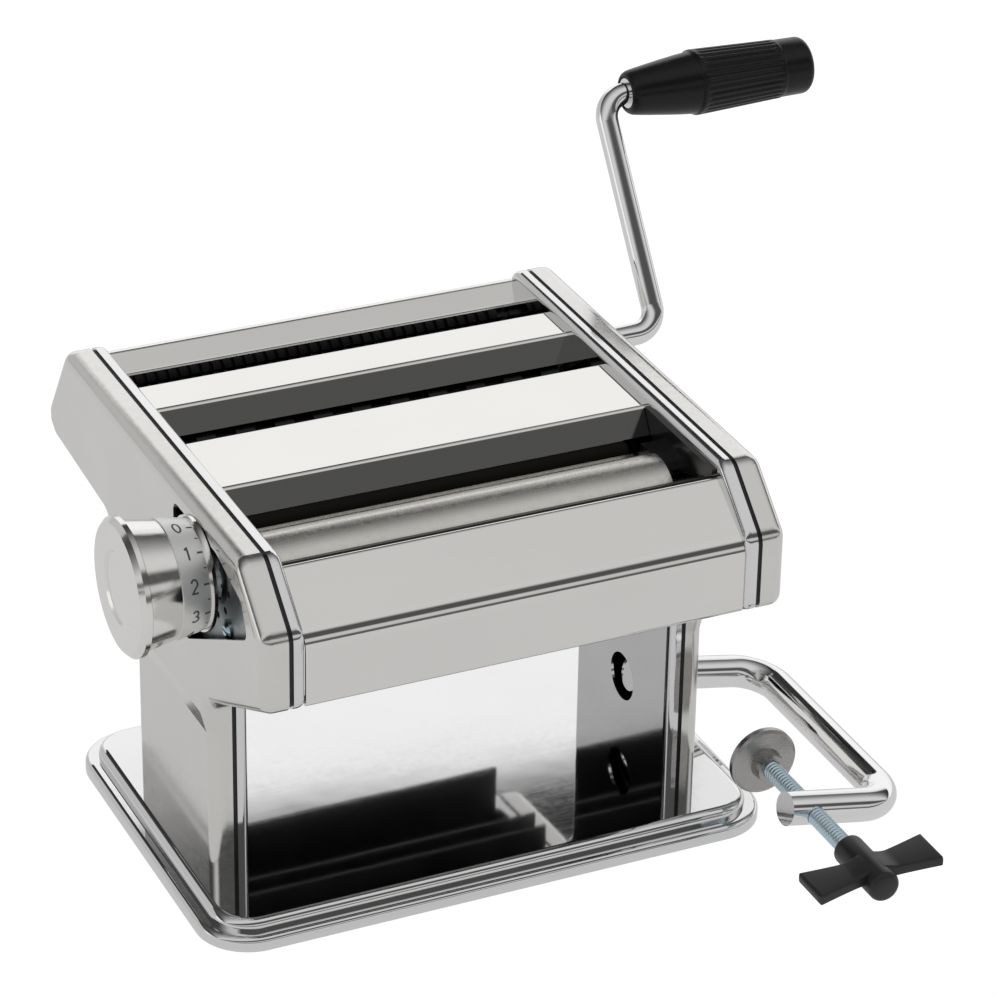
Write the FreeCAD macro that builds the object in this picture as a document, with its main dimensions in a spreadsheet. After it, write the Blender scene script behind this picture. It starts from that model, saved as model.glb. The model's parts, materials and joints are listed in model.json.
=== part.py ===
import FreeCAD, Part
import math
import os
import re
import Sketcher

# Hand cranked pasta machine: a pressed tray carries two legs, and the legs carry a head
# with a pair of smooth rollers and two pairs of cutters.
# X runs along the rollers, Y to the back, Z up. The origin is the middle of the
# underside, on the table.

Vector = FreeCAD.Vector
LEFT = -1
RIGHT = 1

SIZES = {
    # Base
    "base_side": 25.5,
    "base_depth": 139.6,
    "base_height": 9.1,
    "base_corner": 18.5,
    "rim_width": 4.6,
    "rim_top": 5.2,
    "rim_bottom": 0.4,
    "rim_round": 2.0,
    "tray_round": 3.0,
    "tray_wall": 1.2,
    "board_gap": 0.4,
    "mat_height": 1.6,
    "mat_inset": 5.0,
    "tab_width": 12.0,
    "tab_spacing": 44.0,
    "tab_depth": 4.5,
    "tab_gap": 0.25,
    # Layers of the two sides, counted outwards from the inner face
    "end_gap": 6.0,
    "trim_depth": 4.3,
    "plate_wall": 1.5,
    "cover_depth": 9.1,
    "leg_recess": 2.0,
    "recess_low": 62.0,
    "recess_high": 70.0,
    "trim_wall": 1.0,
    "cover_wall": 1.2,
    "trim_round": 2.6,
    "cover_round": 4.5,
    "seam": 0.8,
    # Outline of the two sides, seen from the end
    "leg_front": 35.4,
    "leg_rear": 35.4,
    "throat_front": 75.0,
    "throat_rear": 77.0,
    "neck_rear": 57.0,
    "neck_height": 98.6,
    "tail_under": 107.2,
    "tail_under_height": 103.0,
    "tail_rear": 113.2,
    "tail_step": 4.5,
    "tail_rise": 11.0,
    "head_top": 142.6,
    "top_rear": 94.3,
    "top_front": 64.7,
    "nose_front": 85.2,
    "nose_high": 124.4,
    "nose_low": 98.6,
    "small_corner": 4.0,
    "large_corner": 7.0,
    "throat_corner": 6.0,
    # Shafts
    "cutter_height": 119.5,
    "roller_height": 117.5,
    "work_length": 140.0,
    "roller_radius": 13.8,
    "rear_roller_y": -4.3,
    "roller_gap": 2.2,
    "roller_travel": 1.9,
    "cutter_radius": 10.6,
    "cutter_core": 9.0,
    "cutter_spacing": 20.0,
    "wide_y": 29.0,
    "narrow_y": 73.0,
    "wide_pitch": 14.0,
    "narrow_pitch": 4.0,
    "side_gap": 0.1,
    "journal": 5.0,
    "journal_gap": 0.05,
    "hole_gap": 0.6,
    # Gears
    "gear_start": 0.6,
    "gear_width": 5.0,
    "cutter_teeth": 20,
    "cutter_tooth": 2.25,
    "cutter_tooth_root": 1.7,
    "cutter_tooth_tip": 0.7,
    "roller_teeth": 18,
    "roller_tooth": 3.05,
    "roller_tooth_root": 2.4,
    "roller_tooth_tip": 1.0,
    "tooth_clearance": 0.25,
    "tooth_sink": 0.4,
    # Crank sockets
    "socket_radius": 6.5,
    "socket_length": 9.0,
    "socket_square": 5.8,
    "socket_floor": 1.2,
    "crank_hole": 7.4,
    # Carriage of the front roller
    "slot_gap": 0.05,
    "block_side_gap": 0.1,
    "block_front": 10.0,
    "block_rear": 10.0,
    "block_above": 7.0,
    "block_below": 23.0,
    "slot_end": 0.5,
    "bar_radius": 2.5,
    "bar_drop": 18.0,
    # Bearing plates
    "bearing_top": 131.0,
    "bearing_front": 72.0,
    "bearing_front_low": 103.0,
    "bearing_knee": 50.0,
    "bearing_low": 91.5,
    "bearing_mid": 40.0,
    "bearing_rear_low": 106.0,
    "bearing_rear": 104.0,
    "bearing_rear_high": 124.0,
    "bearing_top_rear": 99.5,
    # Tie rods
    "rod_radius": 3.0,
    "rod_end": 2.2,
    "rod_head": 4.2,
    "rod_head_depth": 1.8,
    "front_rod_y": -66.0,
    "front_rod_z": 112.0,
    "middle_rod_y": 10.0,
    "middle_rod_z": 104.0,
    "rear_rod_y": 60.5,
    "rear_rod_z": 106.0,
    # Sheet pieces of the head
    "sheet": 1.0,
    "panel_inset": 0.8,
    "panel_top": 138.5,
    "panel_top_front": 63.0,
    "panel_lip": 7.0,
    "panel_edge": 1.5,
    "panel_fold": 8.0,
    "nose_fold": 2.6,
    "guide_fold": 1.8,
    "panel_return": 5.0,
    "chute_rear": 93.5,
    "chute_front": 86.0,
    "chute_high": 133.4,
    "chute_low": 129.0,
    "chute_hem": 2.0,
    "guide_top": 138.8,
    "front_guide_rear": 22.0,
    "front_guide_front": -12.0,
    "rear_guide_rear": 66.0,
    "rear_guide_front": 47.5,
    "guide_drop": 8.4,
    "guide_run": 5.2,
    "guide_back_run": 2.2,
    "lip_drop": 4.9,
    "lip_run": 1.3,
    "guard_wall": 1.5,
    "guard_front": 61.4,
    "guard_high": 136.0,
    "guard_rear": 48.5,
    "guard_low": 129.6,
    # Cheeks beside the rollers
    "cheek_gap": 0.3,
    "cheek_top": 129.3,
    "cheek_front": 3.1,
    "cheek_rear": 14.6,
    "cheek_slope": 2.0,
    "cheek_shoulder": 4.8,
    "cheek_rise": 4.0,
    "cheek_tongue": 2.0,
    "cheek_low": 112.0,
    "liner_wall": 1.0,
    "liner_gap": 0.5,
    # Scrapers and combs below the shafts
    "scraper_wall": 1.2,
    "scraper_low": 101.5,
    "comb_low": 85.0,
    "comb_root": 20.0,
    "scraper_offset": 9.0,
    "comb_offset": 7.4,
    "scraper_gap": 0.4,
    "comb_play": 0.4,
    # Thickness regulator on the left
    "knob_y": -31.0,
    "knob_z": 121.5,
    "cam_radius": 7.2,
    "cam_turn": 288.0,
    "cam_depth": 2.2,
    "cam_gap": 0.3,
    "pin_radius": 2.0,
    "pin_gap": 0.12,
    "pin_end_gap": 0.1,
    "arm_height": 6.0,
    "arm_reach": 3.0,
    "arm_root": 3.0,
    "arm_sink": 0.5,
    "dial_shaft": 5.0,
    "dial_shaft_end_out": 34.0,
    "dial_plate_out": 8.6,
    "dial_plate_wall": 1.5,
    "dial_bush": 9.0,
    "dial_bush_depth": 0.7,
    "detent_radius": 1.3,
    "detent_circle": 14.5,
    "detents": 10,
    "foot_radius": 3.5,
    "screw_radius": 3.4,
    "screw_depth": 1.5,
    "low_screw_y": -45.0,
    "low_screw_z": 107.0,
    "rear_screw_y": -14.0,
    "rear_screw_z": 99.0,
    # Window in the left cover
    "window_top": 137.0,
    "window_rear": 10.0,
    "window_front": 73.5,
    "window_front_height": 119.4,
    "window_shoulder": 68.5,
    "window_shoulder_height": 130.5,
    "window_brow": 47.0,
    "window_low_rear": 20.0,
    "window_low": 91.5,
    "window_heel": 101.0,
    "window_corner": 3.5,
    "window_cover": 3.0,
    # Knob
    "knob_start_out": 11.2,
    "knob_flange": 18.9,
    "knob_flange_depth": 1.2,
    "knob_neck": 11.5,
    "knob_back_out": 16.4,
    "knob_back_radius": 17.6,
    "knob_front_out": 37.6,
    "knob_front_radius": 21.4,
    "knob_groove_radius": 20.2,
    "knob_groove_depth": 0.8,
    "knob_face_out": 41.7,
    "knob_radius": 22.9,
    "knob_dish_radius": 12.5,
    "knob_dish": 0.7,
    "knob_edge": 1.6,
    "knob_pull": 4.0,
    "knob_shoulder_out": 28.0,
    "knob_well": 9.0,
    "shaft_head": 8.0,
    "shaft_head_depth": 1.2,
    "dial_start_out": 17.2,
    "dial_depth": 9.6,
    "dial_wall": 0.4,
    # Crank
    "crank_radius": 4.0,
    "shank_square": 5.6,
    "shank_gap": 0.6,
    "crank_plane_out": 47.3,
    "crank_arm": 85.7,
    "crank_lean": 35.6,
    "crank_bend": 9.0,
    "grip_start_out": 56.6,
    "grip_length": 72.6,
    "grip_small": 7.9,
    "grip_taper": 27.0,
    "grip_large": 11.9,
    "grip_waist": 11.2,
    "grip_end": 10.4,
    "grip_round": 3.2,
    "grip_wall": 10.0,
    "grip_step": 3.0,
    "grip_lip": 1.0,
    "collar_depth": 1.2,
    "collar_radius": 5.4,
    "collar_gap": 0.35,
    # Table clamp
    "clamp_radius": 5.75,
    "clamp_hole": 8.7,
    "clamp_y": -1.0,
    "clamp_hole_z": 28.4,
    "clamp_droop": 11.1,
    "clamp_end_out": 3.0,
    "clamp_end_z": 28.3,
    "clamp_reach_out": 55.0,
    "clamp_run": 94.9,
    "clamp_return": 42.3,
    "clamp_bend": 13.0,
    "sleeve_wall": 0.45,
    "sleeve_start": 3.2,
    "sleeve_length": 7.5,
    "clamp_screw_out": 22.2,
    "clamp_screw": 3.2,
    "screw_head_y": -122.9,
    "screw_grip": 15.0,
    "pad_y": -62.5,
    "pad_radius": 12.0,
    "pad_wall": 2.0,
    "pad_rim": 1.4,
    "pad_boss": 5.6,
    "pad_boss_depth": 6.0,
    "pad_boss_slope": 0.6,
    "pad_face": 9.0,
    "pad_lip": 10.6,
    "pad_back": 11.0,
    "screw_seat": 0.1,
    "wing_span": 45.4,
    "wing_width": 15.5,
    "wing_waist": 10.0,
    "wing_wall": 3.8,
    "hub_radius": 5.4,
    "hub_length": 26.0,
    "hub_round": 2.0,
    "wing_lead": 8.0,
    "wing_sink": 0.4,
    "wing_turn": 5.0,
}

# Sizes that follow from others, as formulas
DERIVED = {
    "inner_face": "work_length / 2 + end_gap",
    "base_width": "2 * (inner_face + base_side)",
    "tail_low": "tail_under_height + tail_step",
    "tail_high": "tail_under_height + tail_rise",
    "dial_plate": "inner_face + dial_plate_out",
    "dial_shaft_end": "inner_face + dial_shaft_end_out",
    "knob_start": "inner_face + knob_start_out",
    "knob_back": "inner_face + knob_back_out",
    "knob_front": "inner_face + knob_front_out",
    "knob_face": "inner_face + knob_face_out",
    "knob_shoulder": "inner_face + knob_shoulder_out",
    "dial_start": "inner_face + dial_start_out",
    "crank_plane": "inner_face + crank_plane_out",
    "grip_start": "inner_face + grip_start_out",
    "clamp_end_x": "inner_face + clamp_end_out",
    "clamp_reach_x": "inner_face + clamp_reach_out",
    "clamp_screw_x": "inner_face + clamp_screw_out",
}

document = FreeCAD.newDocument("PastaMachine")
sheet = document.addObject("Spreadsheet::Sheet", "Sizes")
for row, (alias, number) in enumerate(SIZES.items(), start=1):
    sheet.set("A%d" % row, alias)
    sheet.set("B%d" % row, str(number))
    sheet.setAlias("B%d" % row, alias)
document.recompute()

NODES = []


def spell(word):
    """A name as the sheet's cell, or a derived size as its formula."""
    if word[0] in DERIVED:
        return "(" + formula(DERIVED[word[0]]) + ")"
    return "Sizes." + word[0] if word[0] in SIZES else word[0]


def formula(text):
    """A formula on the sheet's named sizes."""
    return re.sub(r"[a-z]\w+", spell, text)


def value(text):
    """The number that a formula gives."""
    return float(sheet.evalExpression(formula(text)))


def bind(item, name, text):
    item.setExpression(name, formula(text))


def node(item, label):
    """Names a finished sub-part."""
    item.Label = label
    NODES.append(item)
    return item


def place(item, x="0 * seam", y="0 * seam", z="0 * seam"):
    bind(item, "Placement.Base.x", x)
    bind(item, "Placement.Base.y", y)
    bind(item, "Placement.Base.z", z)


# Sketches and solids

def draw_corners(sketch, corners):
    """A closed outline whose corners are formulas."""
    first = sketch.GeometryCount
    count = len(corners)
    points = [Vector(value(across), value(up), 0) for across, up in corners]
    for index in range(count):
        sketch.addGeometry(Part.LineSegment(points[index], points[(index + 1) % count]), False)
    for index in range(count):
        following = first + (index + 1) % count
        sketch.addConstraint(Sketcher.Constraint("Coincident", first + index, 2, following, 1))
    for index in range(count):
        for kind, number, text in zip(("DistanceX", "DistanceY"), points[index], corners[index]):
            constraint = sketch.addConstraint(
                Sketcher.Constraint(kind, -1, 1, first + index, 1, number))
            bind(sketch, "Constraints[%d]" % constraint, text)


def draw_rounded(sketch, half_width, half_depth, corner):
    """A rectangle round the middle with round corners."""
    width, depth, radius = value(half_width), value(half_depth), value(corner)
    ends = []
    for across, up in ((1, 1), (-1, 1), (-1, -1), (1, -1)):
        flat = ("%d * (%s - %s)" % (across, half_width, corner), "%d * %s" % (up, half_depth))
        steep = ("%d * %s" % (across, half_width), "%d * (%s - %s)" % (up, half_depth, corner))
        ends.append((steep, flat) if across * up > 0 else (flat, steep))
        centre = Vector(across * (width - radius), up * (depth - radius), 0)
        away = Vector(across, up, 0).normalize() * radius
        first, last = [Vector(value(end[0]), value(end[1]), 0) for end in ends[-1]]
        sketch.addGeometry(Part.Arc(first, centre + away, last), False)
    for index in range(4):
        start = Vector(*[value(text) for text in ends[index][1]], 0)
        end = Vector(*[value(text) for text in ends[(index + 1) % 4][0]], 0)
        line = sketch.addGeometry(Part.LineSegment(start, end), False)
        sketch.addConstraint(Sketcher.Constraint("Coincident", index, 2, line, 1))
        sketch.addConstraint(Sketcher.Constraint("Coincident", line, 2, (index + 1) % 4, 1))
        for point, texts in ((1, ends[index][1]), (2, ends[(index + 1) % 4][0])):
            for kind, text in zip(("DistanceX", "DistanceY"), texts):
                constraint = sketch.addConstraint(Sketcher.Constraint(kind, -1, 1, line, point, value(text)))
                bind(sketch, "Constraints[%d]" % constraint, text)
        constraint = sketch.addConstraint(Sketcher.Constraint("Radius", index, radius))
        bind(sketch, "Constraints[%d]" % constraint, corner)


def draw_circle(sketch, across, up, radius):
    """A circle whose centre and radius are formulas."""
    centre = Vector(value(across), value(up), 0)
    index = sketch.addGeometry(Part.Circle(centre, Vector(0, 0, 1), value(radius)), False)
    kinds = (("DistanceX", -1, 1, index, 3, centre.x), ("DistanceY", -1, 1, index, 3, centre.y),
             ("Radius", index, value(radius)))
    for settings, text in zip(kinds, (across, up, radius)):
        constraint = sketch.addConstraint(Sketcher.Constraint(*settings))
        bind(sketch, "Constraints[%d]" % constraint, text)


def sketch_on(body, name, role, offset=None):
    """An empty sketch on one of the body's own planes, moved along its normal."""
    plane = [item for item in body.Origin.OriginFeatures if item.Role == role][0]
    sketch = body.newObject("Sketcher::SketchObject", name)
    sketch.AttachmentSupport = (plane, [""])
    sketch.MapMode = "FlatFace"
    if offset:
        bind(sketch, ".AttachmentOffset.Base.z", offset)
    return sketch


def new_body(name):
    return document.addObject("PartDesign::Body", name)


def settle(item):
    """Works the document out and stops if this object failed."""
    document.recompute()
    if "Invalid" in item.State or "Error" in item.State:
        raise RuntimeError(item.Name + " failed")
    return item


def pad(body, sketch, length, backwards=False):
    feature = body.newObject("PartDesign::Pad", sketch.Name + "Pad")
    feature.Profile = sketch
    bind(feature, "Length", length)
    feature.Reversed = backwards
    return settle(feature)


def pocket(body, sketch, length, backwards=False):
    """Cuts a sketch's outline away, and checks that it took something."""
    before = body.Shape.Volume
    feature = body.newObject("PartDesign::Pocket", sketch.Name + "Pocket")
    feature.Profile = sketch
    bind(feature, "Length", length)
    feature.Reversed = backwards
    settle(feature)
    if not body.Shape.Volume < before:
        raise RuntimeError(sketch.Name + " cuts nothing")
    return feature


def spin(body, sketch, axis="H_Axis"):
    feature = body.newObject("PartDesign::Revolution", sketch.Name + "Turned")
    feature.Profile = sketch
    feature.ReferenceAxis = (sketch, [axis])
    feature.Angle = 360
    return settle(feature)


def edges_where(shape, test):
    return ["Edge%d" % number for number, edge in enumerate(shape.Edges, start=1) if test(edge)]


def faces_where(shape, test):
    return ["Face%d" % number for number, face in enumerate(shape.Faces, start=1) if test(face)]


def round_edges(body, radius, test):
    base = body.Tip
    feature = body.newObject("PartDesign::Fillet", base.Name + "Rounded")
    feature.Base = (base, edges_where(base.Shape, test))
    bind(feature, "Radius", radius)
    return settle(feature)


def flat_at(edge, axis, level):
    """Whether an edge lies in the plane where one coordinate has this value."""
    box = edge.BoundBox
    low, high = ((box.XMin, box.XMax), (box.YMin, box.YMax), (box.ZMin, box.ZMax))[axis]
    return abs(low - level) < 0.001 and abs(high - level) < 0.001


def along(edge, axis):
    """Whether an edge is a straight line along an axis."""
    if edge.Curve.TypeId != "Part::GeomLine":
        return False
    return abs(abs(edge.tangentAt(edge.FirstParameter)[axis]) - 1) < 0.001


def turned(name, profile):
    """A body turned about X from pairs of length and radius."""
    body = new_body(name)
    sketch = sketch_on(body, name + "Profile", "XY_Plane")
    draw_corners(sketch, profile)
    spin(body, sketch)
    return body


def slab(name, role, corners, start, length, backwards=False):
    """A body padded from an outline on a plane at a named height."""
    body = new_body(name)
    sketch = sketch_on(body, name + "Outline", role, start)
    draw_corners(sketch, corners)
    pad(body, sketch, length, backwards)
    return body


def box_corners(left, right, low, high):
    return [(left, low), (right, low), (right, high), (left, high)]


def repeat(body, feature, sketch, pitch, count):
    """Copies a feature along X."""
    pattern = body.newObject("PartDesign::LinearPattern", feature.Name + "Row")
    pattern.Originals = [feature]
    pattern.Direction = (sketch, ["N_Axis"])
    bind(pattern, "Length", "(%s) * (%s - 1)" % (pitch, count))
    bind(pattern, "Occurrences", count)
    body.Tip = pattern
    settle(pattern)


# Places worked out from the driving sizes

TRIM_END = "(inner_face + trim_depth)"
PLATE_END = "(inner_face + trim_depth + plate_wall)"
COVER_END = "(inner_face + trim_depth + plate_wall + cover_depth)"
COVER_INSIDE = "(inner_face + trim_depth + plate_wall + cover_depth - cover_wall)"
FRONT_ROLLER_Y = "(rear_roller_y - 2 * roller_radius - roller_gap)"
WIDE_REAR_Y = "(wide_y + cutter_spacing)"
NARROW_REAR_Y = "(narrow_y + cutter_spacing)"
GEAR_START = "(inner_face + trim_depth + plate_wall + gear_start)"
SOCKET_START = "(inner_face + trim_depth + plate_wall + 0.2)"
CUTTER_PITCH_RADIUS = "(cutter_spacing / 2)"
ROLLER_PITCH_RADIUS = "(roller_radius + (roller_gap - roller_travel) / 2)"
FIXED_SHAFTS = (("rear_roller_y", "roller_height"), ("wide_y", "cutter_height"), (WIDE_REAR_Y, "cutter_height"),
                ("narrow_y", "cutter_height"), (NARROW_REAR_Y, "cutter_height"))
CRANKED_SHAFTS = (FIXED_SHAFTS[0], FIXED_SHAFTS[1], FIXED_SHAFTS[3])
RODS = {"front": ("front_rod_y", "front_rod_z"),
        "middle": ("middle_rod_y", "middle_rod_z"),
        "rear": ("rear_rod_y", "rear_rod_z")}
SIDES = ((LEFT, "left"), (RIGHT, "right"))


# Base

def rounded_block(name, width, depth, low, high, corner):
    body = slab(name, "XY_Plane",
                box_corners("-(%s) / 2" % width, "(%s) / 2" % width,
                            "-(%s) / 2" % depth, "(%s) / 2" % depth),
                low, "(%s) - (%s)" % (high, low))
    round_edges(body, corner, lambda edge: along(edge, 2))
    return body


def tab_slots(body, low, high, growth):
    """Slots for the two tabs under each side plate."""
    sketch = sketch_on(body, body.Name + "Slots", "XY_Plane", high)
    for side, _ in SIDES:
        for end in (-1, 1):
            middle = "%d * tab_spacing / 2" % end
            near = "%d * (%s - (%s))" % (side, TRIM_END, growth)
            far = "%d * (%s + (%s))" % (side, PLATE_END, growth)
            left, right = (near, far) if side == RIGHT else (far, near)
            corners = box_corners(left, right,
                                  "%s - tab_width / 2 - (%s)" % (middle, growth),
                                  "%s + tab_width / 2 + (%s)" % (middle, growth))
            draw_corners(sketch, corners)
    pocket(body, sketch, "(%s) - (%s)" % (high, low))


def make_base():
    half_width = "(base_width / 2 - rim_width)"
    half_depth = "(base_depth / 2 - rim_width)"
    tray = rounded_block("BaseTray", "2 * " + half_width, "2 * " + half_depth, "rim_bottom", "base_height",
                         "base_corner - rim_width")
    flange = sketch_on(tray, "TrayRim", "XY_Plane", "rim_bottom")
    draw_corners(flange, box_corners("-base_width / 2", "base_width / 2", "-base_depth / 2", "base_depth / 2"))
    pad(tray, flange, "rim_top - rim_bottom")
    height = value("base_height")
    rim = value("rim_top")
    reach = value("base_width") / 2
    round_edges(tray, "base_corner",
                lambda edge: along(edge, 2) and abs(abs(edge.Vertexes[0].X) - reach) < 0.01)
    round_edges(tray, "tray_round", lambda edge: flat_at(edge, 2, height))
    length = value("base_depth") / 2
    corner_reach = math.hypot(reach, length) - value("base_corner")

    def outer_edge(edge):
        middle = edge.valueAt((edge.FirstParameter + edge.LastParameter) / 2)
        at_side = abs(abs(middle.x) - reach) < 0.01 or abs(abs(middle.y) - length) < 0.01
        at_corner = edge.Curve.TypeId == "Part::GeomCircle" and math.hypot(middle.x, middle.y) > corner_reach
        return at_side or (at_corner and abs(edge.Curve.Radius - value("base_corner")) < 0.01)

    round_edges(tray, "rim_round", lambda edge: flat_at(edge, 2, rim) and outer_edge(edge))
    hollow = sketch_on(tray, "TrayHollow", "XY_Plane", "rim_bottom")
    half_width = "(base_width / 2 - rim_width - tray_wall)"
    half_depth = "(base_depth / 2 - rim_width - tray_wall)"
    draw_rounded(hollow, half_width, half_depth, "(base_corner - rim_width - tray_wall)")
    pocket(tray, hollow, "base_height - tray_wall - rim_bottom", backwards=True)
    tab_slots(tray, "base_height - tray_wall - 0.1", "base_height", "tab_gap")
    node(tray, "base_tray")

    shrink = "2 * (rim_width + tray_wall + board_gap)"
    board = rounded_block("BaseBoard", "base_width - " + shrink, "base_depth - " + shrink,
                          "mat_height", "base_height - tray_wall",
                          "base_corner - rim_width - tray_wall - board_gap")
    tab_slots(board, "base_height - tab_depth - tab_gap", "base_height - tray_wall", "tab_gap")
    node(board, "base_board")

    shrink = "2 * (rim_width + tray_wall + board_gap + mat_inset)"
    mat = rounded_block("BaseMat", "base_width - " + shrink, "base_depth - " + shrink,
                        "0 * mat_height", "mat_height",
                        "base_corner - rim_width - tray_wall - board_gap - mat_inset")
    node(mat, "base_mat")


# Sides: an inner trim, a steel plate and an outer cover, all on one outline

SIDE_CORNERS = (
    ("-leg_front", "base_height", None),
    ("leg_rear", "base_height", None),
    ("leg_rear", "throat_rear", "throat_corner"),
    ("neck_rear", "neck_height", "throat_corner"),
    ("tail_under", "tail_under_height", "small_corner"),
    ("tail_rear", "tail_low", "small_corner"),
    ("tail_rear", "tail_high", "small_corner"),
    ("top_rear", "head_top", "large_corner"),
    ("-top_front", "head_top", "large_corner"),
    ("-nose_front", "nose_high", "large_corner"),
    ("-nose_front", "nose_low", "small_corner"),
    ("-leg_front", "throat_front", "throat_corner"),
)
HOLLOW_CORNERS = (2, 3, 11)
YZ_SKETCH = FreeCAD.Placement(Vector(), FreeCAD.Rotation(Vector(0, 1, 0), Vector(0, 0, 1), Vector(1, 0, 0)))
XZ_SKETCH = FreeCAD.Placement(Vector(), FreeCAD.Rotation(Vector(1, 0, 0), 90))


def make_outline():
    outline = document.addObject("Sketcher::SketchObject", "SideOutline")
    outline.Placement = YZ_SKETCH
    draw_corners(outline, [corner[:2] for corner in SIDE_CORNERS])
    return settle(outline)


def extrude(source, name, start, end, side):
    """Extrudes an outline drawn at X 0 between two distances from the middle."""
    solid = document.addObject("Part::Extrusion", name)
    solid.Base = source
    solid.DirMode = "Custom"
    solid.Dir = Vector(side, 0, 0)
    solid.Solid = True
    bind(solid, "LengthFwd", "(%s) - (%s)" % (end, start))
    bind(solid, "Placement.Base.x", "%d * (%s)" % (side, start))
    return settle(solid)


def fillet_edges(base, name, rounds):
    """Rounds numbered edges, each with its own radius."""
    solid = document.addObject("Part::Fillet", name)
    solid.Base = base
    solid.Edges = [(number, radius, radius) for number, radius in rounds]
    return settle(solid)


def cut(base, tool, name):
    before = base.Shape.Volume
    solid = document.addObject("Part::Cut", name)
    solid.Base = base
    solid.Tool = tool
    settle(solid)
    if not solid.Shape.Volume < before:
        raise RuntimeError(name + " cuts nothing")
    return solid


def fuse(items, name):
    solid = document.addObject("Part::MultiFuse", name)
    solid.Shapes = items
    return settle(solid)


def side_form(outline, name, side, inset, start, end, step=None):
    """The outline, drawn in by an inset, extruded and rounded at its corners."""
    source = outline
    if inset:
        source = document.addObject("Part::Offset2D", name + "Inset")
        source.Source = outline
        source.Join = 2
        bind(source, "Value", "-(%s)" % inset)
        document.recompute()
    solid = extrude(source, name + "Solid", start, end, side)
    shrink = value(inset) if inset else 0.0
    corners = [(Vector(0, value(across), value(up)), index) for index, (across, up, _) in enumerate(SIDE_CORNERS)]
    rounds = []
    for number, edge in enumerate(solid.Shape.Edges, start=1):
        if not along(edge, 0):
            continue
        point = Vector(0, edge.Vertexes[0].Y, edge.Vertexes[0].Z)
        index = min(corners, key=lambda corner: corner[0].distanceToPoint(point))[1]
        radius = SIDE_CORNERS[index][2]
        if radius:
            rounds.append((number, value(radius) + (shrink if index in HOLLOW_CORNERS else -shrink)))
    solid = fillet_edges(solid, name + "Corners", rounds)
    if step:
        solid = cut(solid, leg_step(name, side, step), name + "Stepped")
    return solid


def leg_step(name, side, wall):
    """What the cover's leg face stands back from the head's face."""
    sketch = document.addObject("Sketcher::SketchObject", name + "Step")
    sketch.Placement = XZ_SKETCH
    face = "%d * (%s - (%s))" % (side, COVER_END, wall)
    leg = "%d * (%s - leg_recess - (%s))" % (side, COVER_END, wall)
    away = "%d * (%s + cover_depth)" % (side, COVER_END)
    draw_corners(sketch, [(leg, "0 * seam"), (away, "0 * seam"), (away, "recess_high"),
                          (face, "recess_high"), (leg, "recess_low")])
    document.recompute()
    solid = document.addObject("Part::Extrusion", name + "StepSolid")
    solid.Base = sketch
    solid.DirMode = "Custom"
    solid.Dir = Vector(0, 1, 0)
    solid.Solid = True
    solid.Symmetric = True
    bind(solid, "LengthFwd", "2 * (tail_rear + nose_front)")
    return settle(solid)


def round_face(base, name, radius, outwards):
    """Rounds the edge between the faces that look along X and the walls round them."""
    shape = base.Shape
    bottom = value("base_height")

    def looks(face):
        return face.normalAt(0, 0).x

    rounds = []
    for number, edge in enumerate(shape.Edges, start=1):
        if flat_at(edge, 2, bottom):
            continue
        faces = shape.ancestorsOfType(edge, Part.Face)
        leaning = [face for face in faces if looks(face) * outwards > 0.5]
        walls = [face for face in faces if abs(looks(face)) < 0.1]
        if len(leaning) == 1 and len(walls) == 1:
            rounds.append((number, value(radius)))
    return fillet_edges(base, name, rounds)


def round_tool(name, side, y, z, radius, start, end):
    tool = document.addObject("Part::Cylinder", name)
    bind(tool, "Radius", radius)
    bind(tool, "Height", "(%s) - (%s)" % (end, start))
    tool.Placement.Rotation = FreeCAD.Rotation(Vector(0, 1, 0), 90)
    first = start if side == RIGHT else "-(%s)" % end
    place(tool, first, y, z)
    return tool


def slot_tool(name, side, left, right, low, high, start, end):
    tool = document.addObject("Part::Box", name)
    bind(tool, "Length", "(%s) - (%s)" % (end, start))
    bind(tool, "Width", "(%s) - (%s)" % (right, left))
    bind(tool, "Height", "(%s) - (%s)" % (high, low))
    first = start if side == RIGHT else "-(%s)" % end
    place(tool, first, left, low)
    return tool


def journal_slot(name, side, radius, start, end):
    """The long hole in which the front roller's journal moves."""
    return fuse([round_tool(name + "Open", side, FRONT_ROLLER_Y, "roller_height", radius, start, end),
                 round_tool(name + "Shut", side, FRONT_ROLLER_Y + " + roller_travel", "roller_height",
                            radius, start, end),
                 slot_tool(name + "Way", side, FRONT_ROLLER_Y, FRONT_ROLLER_Y + " + roller_travel",
                           "roller_height - (%s)" % radius, "roller_height + (%s)" % radius, start, end)],
                name)


def make_trims(outline):
    for side, word in SIDES:
        name = word.title() + "Trim"
        outer = side_form(outline, name + "Outer", side, None, "inner_face", TRIM_END)
        outer = round_face(outer, name + "OuterRound", "trim_round", -side)
        inner = side_form(outline, name + "Inner", side, "trim_wall", "inner_face + trim_wall", TRIM_END + " + 1")
        inner = round_face(inner, name + "InnerRound", "trim_round - trim_wall", -side)
        start, end = "inner_face - 1", "inner_face + trim_wall + 1"
        holes = [inner]
        for number, (y, z) in enumerate(FIXED_SHAFTS):
            holes.append(round_tool(name + "Shaft%d" % number, side, y, z, "journal + hole_gap", start, end))
        for rod, (y, z) in RODS.items():
            holes.append(round_tool(name + rod.title() + "Rod", side, y, z, "rod_radius + 0.1", start, end))
        holes.append(slot_tool(name + "Carriage", side,
                               FRONT_ROLLER_Y + " - journal - hole_gap - 1",
                               FRONT_ROLLER_Y + " + roller_travel + journal + hole_gap + 1",
                               "roller_height - bar_drop - bar_radius - 1",
                               "roller_height + journal + hole_gap", start, end))
        if side == RIGHT:
            holes.append(round_tool(name + "Clamp", side, "clamp_y", "clamp_hole_z", "clamp_hole", start, end))
        node(cut(outer, fuse(holes, name + "Holes"), name), word + "_inner_trim")


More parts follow.
